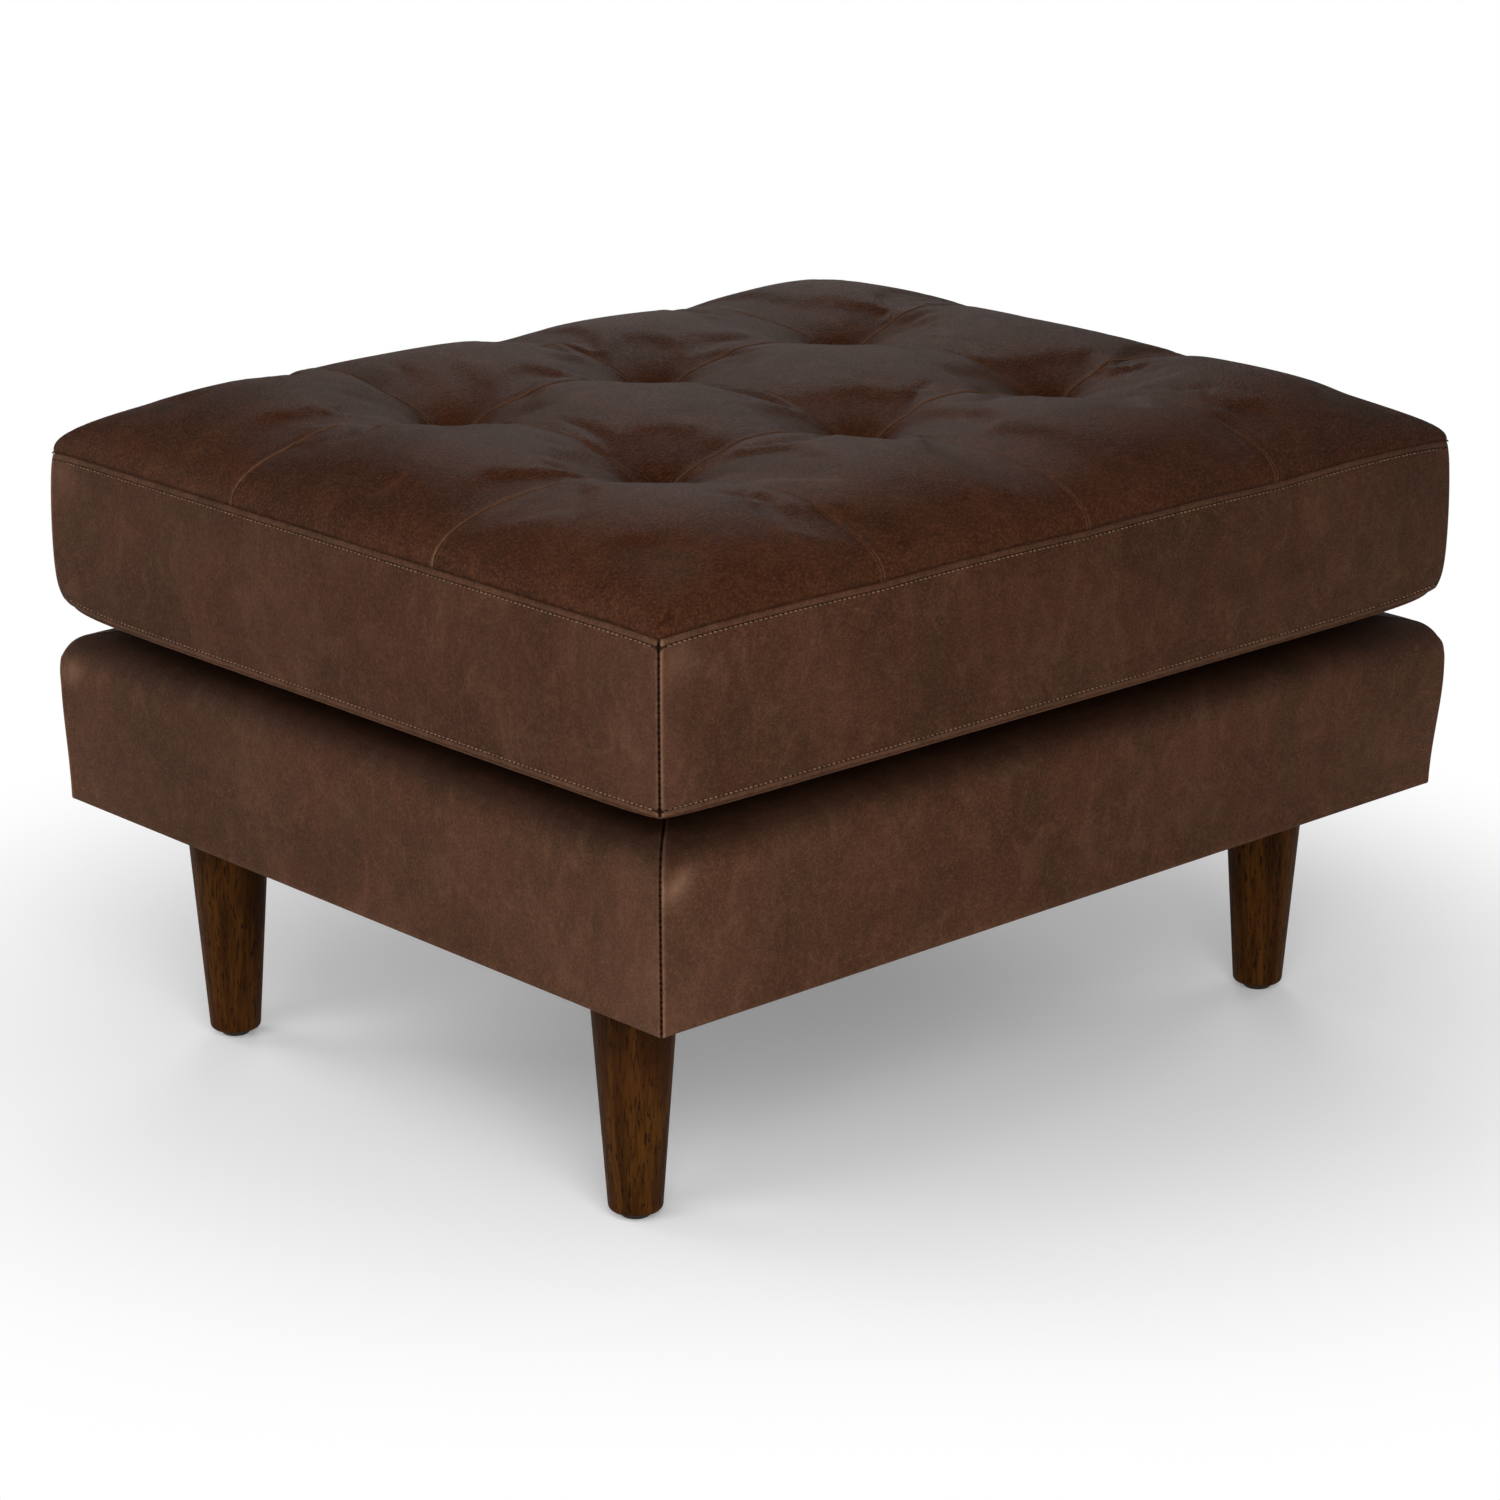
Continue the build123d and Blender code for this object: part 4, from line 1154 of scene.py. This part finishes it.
core_foam = foam_finish("foam_core_cut", (232, 222, 190), (214, 196, 150), 620.0)
deck_foam_cut = foam_finish("foam_deck_cut", (214, 218, 222), (190, 196, 202), 520.0)
fibre = fibre_finish()
print("padding: 3 finishes")

# %% [markdown]
# ## Cut blocks
# Foam is cut with a wire and its edges are a little soft. The fibre and the foams are cut back under the
# leather, by the gap times the slope, so that nothing shows through it.

# %% Padding blocks
def outline(half_long, half_wide, corner, spacing):
    """A rounded rectangle as evenly spaced points, anticlockwise, with the first repeated at the end."""
    turn = np.radians(np.linspace(0, 90, 10))
    arcs = [joined(sx * (half_long - corner) + corner * np.cos(turn + start),
                   sy * (half_wide - corner) + corner * np.sin(turn + start))
            for sx, sy, start in ((1, 1, 0.0), (-1, 1, np.pi / 2), (-1, -1, np.pi), (1, -1, 1.5 * np.pi))]
    ring = np.concatenate(arcs + [arcs[0][:1]])
    run = np.concatenate(([0.0], np.cumsum(np.hypot(*np.diff(ring, axis=0).T))))
    even = np.linspace(0, run[-1], round(run[-1] / spacing) + 1)
    return joined(*(np.interp(even, run, ring[:, axis]) for axis in (0, 1)))


def block(node, kind, box, corner, bottom, top, body, finish, slot, spacing=8 * MM):
    """A closed pad over a box's plan: bottom and top are heights or functions of x and y, and its side
    bows out a little."""
    low, high = box
    centre = (low + high) / 2
    half_long, half_wide = high.x - centre.x, high.y - centre.y
    ring = outline(half_long, half_wide, corner, spacing)
    count = max(4, round(half_wide / spacing))
    shares = np.linspace(0, 1, count + 1) ** 0.8
    share = np.concatenate((shares, np.ones(5), shares[::-1]))[:, None]
    lift = np.concatenate((np.zeros(count + 1), np.linspace(0, 1, 7)[1:-1], np.ones(count + 1)))[:, None]
    x = centre.x + share * ring[:, 0]
    y = centre.y + share * ring[:, 1]
    low = bottom(x, y) if callable(bottom) else np.full_like(x, bottom)
    high = top(x, y) if callable(top) else np.full_like(x, top)
    soft = 1 + 0.6 * MM * (4 * lift * (1 - lift) - 1) / half_long
    points = joined(centre.x + (x - centre.x) * soft, centre.y + (y - centre.y) * soft,
                    low + lift * (high - low))
    uv = joined(*np.broadcast_arrays(np.linspace(0, 1, len(ring)), share))
    made = welded(make_mesh(f"{node}_{kind}", points, faces_of(*x.shape), {}, uv))
    finish_piece(made, body, finish, slot, node)


def under_skin(surface, gap):
    """A surface moved down until it clears the leather: the gap, made larger where the slope is steep."""
    def height(x, y):
        step = 0.5 * MM
        slope_x = (surface(x + step, y) - surface(x - step, y)) / (2 * step)
        slope_y = (surface(x, y + step) - surface(x, y - step)) / (2 * step)
        return surface(x, y) - gap * np.sqrt(1 + slope_x**2 + slope_y**2)
    return height


def deck_height(x, y):
    """The deck's top as the base covers' section gives it, by the distance in from the nearest face."""
    inset = np.minimum(base_x - np.abs(x), base_y - np.abs(y))
    upper = section[-roll_points - deck_points - 1:]
    return np.interp(inset, upper[:, 0], upper[:, 1]) - corner_sink(x, y)


core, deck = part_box("foam_core"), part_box("deck_foam")
block("foam_core", "cut", core, 9 * MM, under_skin(bottom_height, -2.0 * MM), core[1].z, "cushion", core_foam,
      "foam")
block("fibre_topper", "fill", core, 6 * MM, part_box("fibre_topper")[0].z, under_skin(top_height, 2.1 * MM),
      "cushion", fibre, "fibre", spacing=5 * MM)
block("deck_foam", "cut", deck, 6 * MM, deck[0].z, under_skin(deck_height, 1.9 * MM), "base", deck_foam_cut,
      "foam")
for side in SIDES:
    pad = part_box(f"side_padding_{side}")
    block(f"side_padding_{side}", "wadding", pad, 3 * MM, pad[0].z, pad[1].z, "base", fibre, "fibre")
print("padding: core", round((core[1].z - core[0].z) / MM), "mm thick, four waddings")

# %% [markdown]
# ## Cloths and webbing
# Webbing straps carry the deck, a cloth keeps the foam off them, a lining covers the foam between the
# leather borders, and a thin black cloth closes the underside. They are woven or felted sheets under
# tension, so each is a nearly flat grid whose weave is a pattern on its own plan.

# %% Cloth finishes
def woven_finish(name, tint, shadow, pitch, relief, stripe=0.0):
    """A plain weave: two families of threads that cross over and under each other, drawn on the sheet's
    own plan, with a slow unevenness and, on webbing, a few darker lengthwise stripes."""
    bench = Bench(name)
    u, v = bench.split(bench.uv(), "XY")
    over = (u * (math.pi / pitch)).sine() * (v * (math.pi / pitch)).sine() * 0.5 + 0.5
    band = ((v / (9 * MM)) % 1.0 - 0.5).size().ramp(0.36, 0.42)
    fuzz = bench.noise(bench.objects(), 300.0, 4.0)
    slow = bench.noise(bench.objects(), 12.0, 3.0)
    tone = bench.layers(colour(*shadow), (over.ramp(0.2, 0.8), colour(*tint)),
                        (fuzz.ramp(0.45, 0.7) * 0.3, colour(*shadow, 0.7)),
                        (slow.ramp(0.4, 0.7) * 0.25, colour(*tint, 1.15)),
                        (band * stripe, colour(*shadow, 0.5)))
    return bench.finish(tone, 0.82 + 0.12 * fuzz, over + 0.4 * fuzz, relief, 0.12)


def felted_finish():
    """Spun-bonded black dust cloth: random fused strands with a grid of small pressed dots."""
    bench = Bench("dust_cloth")
    place = bench.objects()
    strands = bench.noise(bench.stretch(place, 1.0, 0.35, 1.0), 420.0, 6.0, 0.8, 2.0)
    u, v = ((part / (2.2 * MM)) % 1.0 - 0.5 for part in bench.split(place, "XY"))
    dot = ((u**2.0 + v**2.0) ** 0.5).ramp(0.16, 0.26)
    tone = bench.layers(colour(26, 26, 27), (strands.ramp(0.35, 0.65), colour(52, 52, 54)),
                        ((1 - dot) * 0.5, colour(20, 20, 21)))
    return bench.finish(tone, 0.85 + 0.1 * strands, strands + dot, 0.15 * MM, 0.15)


lining_cloth = woven_finish("deck_lining", (74, 58, 48), (46, 35, 29), 0.9 * MM, 0.25 * MM)
deck_canvas = woven_finish("deck_canvas", (206, 196, 176), (170, 158, 136), 1.1 * MM, 0.25 * MM)
strap_weave = woven_finish("strap_webbing", (58, 56, 54), (28, 27, 26), 1.6 * MM, 0.4 * MM, 0.8)
felted_cloth = felted_finish()
print("cloths: 4 finishes")

# %% [markdown]
# ## Sheets held under tension
# Every cloth is stapled or sewn at its rim and pulled flat, so it is a flat grid with its real thickness
# and, on the lining, faint ripples. The dust cloth is cut round each leg: its places near a leg are
# pushed out to the rim of the hole.

# %% Stretched sheets
def sheet_piece(name, node, slot, points, thickness, finish, faces=None, plan=None,
                area=None, body="base"):
    """A stretched sheet that stands for a node, with its thickness; its flat size, the area, is not used. Its
    faces are the grid's and its plan, which goes to the UV map, is x and y, unless others are given."""
    faces = faces_of(*points.shape[:2]) if faces is None else faces
    made = make_mesh(name, points, faces, {}, points[..., :2] if plan is None else plan)
    finish_piece(made, body, finish, slot, node)
    thicken(made, thickness)


def plan_grid(node, spacing):
    """A node's box, and an even grid of places over its plan."""
    low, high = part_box(node)
    x = np.linspace(low.x, high.x, round((high.x - low.x) / spacing) + 1)
    y = np.linspace(low.y, high.y, round((high.y - low.y) / spacing) + 1)
    return low, high, *np.meshgrid(x, y)


def plan_size(low, high):
    """A box's plan size, as width and length."""
    return high.x - low.x, high.y - low.y


low, high, x, y = plan_grid("deck_cloth", 9 * MM)
sheet_piece("deck_cloth_canvas", "deck_cloth", "deck_cloth", joined(x, y, np.full_like(x, high.z)),
            high.z - low.z, deck_canvas)
low, high, x, y = plan_grid("deck_cover", 5 * MM)
edge = np.minimum(high.x - np.abs(x), high.y - np.abs(y))
ripples = 0.25 * MM * np.sin(x / (31 * MM)) * np.sin(y / (27 * MM)) * fade(edge, 30)
height = high.z - 0.25 * MM - 0.9 * MM * fade(edge, 1.5) + ripples
sheet_piece("deck_lining_cloth", "deck_cover", "deck_lining", joined(x, y, height), 0.8 * MM, lining_cloth)

leg_x, leg_y = 297 * MM, 212 * MM
hole_size, hole_start = 30.6 * MM, 10.0 * MM
grip, rim_start = 1.6 * hole_size, hole_start + 4.5 * MM
low, high, x, y = plan_grid("dust_cover", 4 * MM)
x, y = x[::-1, ::-1], y[::-1, ::-1]
keep = np.ones(x.shape, bool)
for hole_x, hole_y in ((sx * leg_x, sy * leg_y) for sx in (-1, 1) for sy in (-1, 1)):
    away = np.maximum(np.hypot(x - hole_x, y - hole_y), 1e-6)
    moved = hole_size + np.clip(away - rim_start, 0, None) * (grip - hole_size) / (grip - rim_start)
    reach = np.where(away < grip, moved, away)
    keep &= away > hole_start
    x, y = hole_x + (x - hole_x) * reach / away, hole_y + (y - hole_y) * reach / away
faces = faces_of(*x.shape)
used, faces = np.unique(faces[keep.reshape(-1)[faces].all(axis=1)], return_inverse=True)
points = joined(x, y, np.full_like(x, low.z)).reshape(-1, 3)[used]
width, length = plan_size(low, high)
sheet_piece("dust_cloth_felt", "dust_cover", "dust_cloth", points, high.z - low.z, felted_cloth,
            faces,
            area=width * length - 4 * math.pi * hole_size**2)

strap_width, strap_thickness = 50 * MM, 1.5 * MM
inner_x, inner_y = 328.5 * MM, 277.5 * MM
strap_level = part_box("webbing_lengthwise")[1].z


def straps(kind, centres, half_length, over):
    """Webbing straps side by side, as one mesh: each is a grid along its centre line. The crosswise ones
    are lifted over the lengthwise ones by their thickness."""
    run = np.linspace(-half_length, half_length, round(2 * half_length / (6 * MM)) + 1)
    side = np.linspace(-strap_width / 2, strap_width / 2, 9)
    along, across, centre = np.broadcast_arrays(run[None, None], side[None, :, None], centres[:, None, None])
    height = strap_level + over * np.clip((inner_y - np.abs(along)) / (12 * MM), 0, 1)
    points = joined(along, centre + across, height)
    if over:
        points = points[:, ::-1, :, [1, 0, 2]]
    first = np.arange(len(centres)) * len(side) * len(run)
    faces = faces_of(len(side), len(run)) + first[:, None, None]
    sheet_piece(f"webbing_straps_{kind}", f"webbing_{kind}", "webbing", points, strap_thickness, strap_weave,
                faces, joined(along, across))


straps("lengthwise", (np.arange(5) - 2) * 2 * inner_y / 5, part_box("webbing_lengthwise")[1].x, 0.0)
straps("crosswise", (np.arange(6) - 2.5) * 2 * inner_x / 6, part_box("webbing_crosswise")[1].y, strap_thickness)
print("sheets: deck cloth, lining, dust cloth and 11 straps")

# %% [markdown]
# ## The zip
# The closed zip is two rows of nylon coil that grip each other, each sewn to a woven tape behind the
# folded leather. The coil's turns are short bent rods, set alternately from above and from below.

# %% Zip tapes and coils
tape_weave = woven_finish("zip_tape_weave", (48, 36, 29), (26, 19, 15), 0.8 * MM, 0.15 * MM)
coil_nylon = thread_finish("zip_coil_nylon", (58, 44, 35))
zip_low, zip_high = zip_box
tape_out, coil_out, coil_pitch = 308.5 * MM, 308.9 * MM, 1.6 * MM
tape_gap, tape_reach = 1.6 * MM, 17.1 * MM
along, share = np.meshgrid(np.linspace(zip_low.x, zip_high.x, 160)[::-1], np.linspace(0, 1, 8))
points = np.stack([joined(along, np.full_like(along, tape_out), start + share * (stop - start))
                   for start, stop in ((zip_middle - tape_reach, zip_middle - tape_gap),
                                       (zip_middle + tape_gap, zip_middle + tape_reach))])
one = faces_of(*along.shape)
sheet_piece("zip_tape_cloth", "zip_tapes", "zip_tape", points, 0.8 * MM, tape_weave,
            np.stack((one, one + along.size)), points[..., [0, 2]], body="cushion")
count = math.floor((zip_high.x - zip_low.x - 6 * MM) / coil_pitch)
along = (np.arange(count) - (count - 1) / 2) * coil_pitch
sign = np.where(np.arange(count) % 2, 1.0, -1.0)
places = joined(along, np.full(count, coil_out), zip_middle + sign * 1.1 * MM)
stitches("zip_coils", places, [0.0, 0.0, 1.0], [0.0, 1.0, 0.0], 4.2 * MM, 0.55 * MM, 0.2 * MM, coil_nylon,
         "cushion", "zip_tape")

# %% [markdown]
# ## Timber and hardware
# The rails are sawn poplar, the corner boards birch plywood, and the screws, bolts, nuts and washers are
# zinc plated. Their solids are already right, so they keep their shapes and only get their finishes.

# %% Finishes of the frame
board_bottom, veneer = 165.5 * MM, 1.5 * MM


def timber_finish(name, axis):
    """Sawn poplar with its grain along one axis: growth bands, fine fibres and a few grey-green streaks."""
    bench = Bench(name)
    place = bench.objects()
    drawn = bench.stretch(place, *(0.05 if i == axis else 1.0 for i in range(3)))
    bands = bench.noise(drawn, 55.0, 3.0, 0.6, 0.8)
    fibres = bench.noise(drawn, 600.0, 4.0, 0.7)
    streak = bench.noise(drawn, 22.0, 2.0)
    tone = bench.layers(colour(206, 182, 140), (bands.ramp(0.35, 0.65), colour(182, 150, 104)),
                        (fibres.ramp(0.45, 0.7) * 0.4, colour(150, 120, 82)),
                        (streak.ramp(0.55, 0.75) * 0.35, colour(160, 152, 112)))
    return bench.finish(tone, 0.7 + 0.2 * fibres, fibres, 0.15 * MM, 0.2)


def plywood_finish():
    """Birch plywood: thin veneers stacked in height, darker glue lines, and face grain across the board."""
    bench = Bench("birch_plywood")
    place = bench.objects()
    height, = bench.split(place, "Z")
    glue = (((height - board_bottom) / veneer) % 1.0 - 0.5).size().ramp(0.40, 0.48)
    grain = bench.noise(bench.stretch(place, 0.06, 1.0, 1.0), 380.0, 4.0, 0.65)
    tone = bench.layers(colour(222, 198, 152), (grain.ramp(0.35, 0.7), colour(196, 164, 112)),
                        (glue * 0.6, colour(120, 86, 52)))
    return bench.finish(tone, 0.65 + 0.2 * grain, grain - glue, 0.1 * MM, 0.2)


def plated_finish(name, light, dark):
    """Plated metal: a mottled bright layer with fine draw marks and dull spots."""
    bench = Bench(name)
    place = bench.objects()
    mottle = bench.noise(place, 130.0, 4.0)
    marks = bench.noise(bench.stretch(place, 1.0, 1.0, 0.1), 900.0, 2.0)
    tone = bench.mix(mottle.ramp(0.35, 0.7), colour(*light), colour(*dark))
    return bench.finish(tone, 0.28 + 0.3 * mottle, marks, 0.04 * MM, Metallic=1.0)


def twine_finish():
    """Waxed flax twine: three plies that wind round it, drawn as slanted bands by height and angle, with
    painted shade in the grooves between them.
    """
    bench = Bench("tufting_twine")
    place = bench.objects()
    x, y, z = bench.split(place)
    groove = (((x + y + z * 0.8) / (1.2 * MM)) % 1.0 - 0.5).size().ramp(0.30, 0.5)
    fuzz = bench.noise(place, 500.0, 4.0)
    tone = bench.layers(colour(206, 188, 152), (groove, colour(128, 108, 78)),
                        (fuzz * 0.3, colour(160, 140, 104)))
    return bench.finish(tone, 0.7 + 0.2 * fuzz, 1 - groove, 0.3 * MM, 0.2)


lengthwise_timber = timber_finish("poplar_lengthwise", 0)
crosswise_timber = timber_finish("poplar_crosswise", 1)
zinc = plated_finish("zinc_plate", (196, 200, 206), (150, 154, 160))
brass = plated_finish("zip_slider_brass", (150, 118, 70), (96, 72, 40))
finishes = {"tuft_twines": twine_finish(), "zip_slider": brass}
finishes |= dict.fromkeys(["frame_rail_front", "frame_rail_back"], lengthwise_timber)
finishes |= dict.fromkeys(["frame_rail_left", "frame_rail_right", "frame_cross_rail"], crosswise_timber)
finishes |= dict.fromkeys([name for name in nodes if name.startswith("corner_board")], plywood_finish())
finishes |= dict.fromkeys(["rail_screws", "board_screws", "tee_nuts", "hanger_bolts", "tuft_washers"], zinc)
for name, finish in finishes.items():
    nodes[name].data.materials[0] = finish
print("frame and hardware:", len(finishes), "nodes finished")

# %% [markdown]
# ## Floor and light
# The ottoman stands in a plain white studio. The floor is white and takes the object's soft shadow;
# away from the object it fades to an even white, which comes from its colour and never from more light.
# A dim white world lights everything evenly and looks white to the camera. Three soft panels in front
# give the leather its gentle modelling, and two low ones behind it give the top its sheen.

# %% Stage
floor_lift = 0.15
floor_half = 30.0
world_light = 0.12
white = (1.0, 1.0, 1.0, 1.0)


def floor_finish():
    """White floor: shaded near the object, and an even white further out for the camera."""
    bench = Bench("studio_floor")
    flat = bench.stretch(bench.objects(), 1.0, 1.0, 0.0)
    far = bench.node("VectorMath", {"operation": "LENGTH"}, {0: flat})["Value"]
    seen = bench.seen("Camera", "Glossy", "Transmission")
    lift, glow = (bench.node("Emission", {}, {"Color": white, "Strength": strength})["Emission"]
                  for strength in (floor_lift, 1.0))
    shaded = Wire(bench, bench.shader.outputs["BSDF"])
    lifted = bench.node("AddShader", {}, {0: shaded, 1: lift})["Shader"]
    near = bench.node("MixShader", {}, {0: seen, 1: shaded, 2: lifted})["Shader"]
    both = bench.node("MixShader", {}, {0: far.ramp(0.32, 0.82) * seen, 1: near, 2: glow})["Shader"]
    bench.join(both, bench.tree.nodes["Material Output"].inputs["Surface"])
    return bench.finish(colour(246, 246, 247), 0.9, specular=0.1)


corners = np.array([[-1, -1, 0], [1, -1, 0], [1, 1, 0], [-1, 1, 0]]) * floor_half
floor = make_mesh("floor", corners, np.array([[0, 1, 2, 3]]))
floor.data.materials.append(floor_finish())

studio = Bench("studio", bpy.data.worlds.new("studio"))
bpy.context.scene.world = studio.owner
plain = studio.tree.nodes["Background"]
plain.inputs["Color"].default_value = white
plain.inputs["Strength"].default_value = world_light
shown = studio.node("Background", {}, {"Color": white, "Strength": 1.0})["Background"]
sky = {0: studio.seen("Camera", "Transmission"), 1: Wire(studio, plain.outputs[0]), 2: shown}
sky = studio.node("MixShader", {}, sky)["Shader"]
studio.join(sky, studio.tree.nodes["World Output"].inputs["Surface"])

for name, place, aim_height, width, height, power in (
        ("panel_left", (-2.1, -0.3, 1.5), 0.25, 1.8, 1.5, 18.5),
        ("panel_front", (-1.05, -1.45, 1.0), 0.25, 1.1, 1.0, 21),
        ("panel_right", (2.3, -0.3, 1.1), 0.2, 1.4, 1.2, 7),
        ("panel_back", (1.55, 1.75, 1.4), 0.35, 1.2, 0.9, 11.5),
        ("panel_far", (-1.1, 2.2, 1.0), 0.2, 1.4, 1.2, 16)):
    lamp = bpy.data.lights.new(name, "AREA")
    lamp.shape = "RECTANGLE"
    lamp.size = width
    lamp.size_y = height
    lamp.energy = power
    placed(name, lamp, place, Vector((0, 0, aim_height)) - Vector(place))
bpy.context.scene.view_settings.view_transform = "Standard"
print("stage: floor, world and", len(bpy.data.lights), "soft panels")
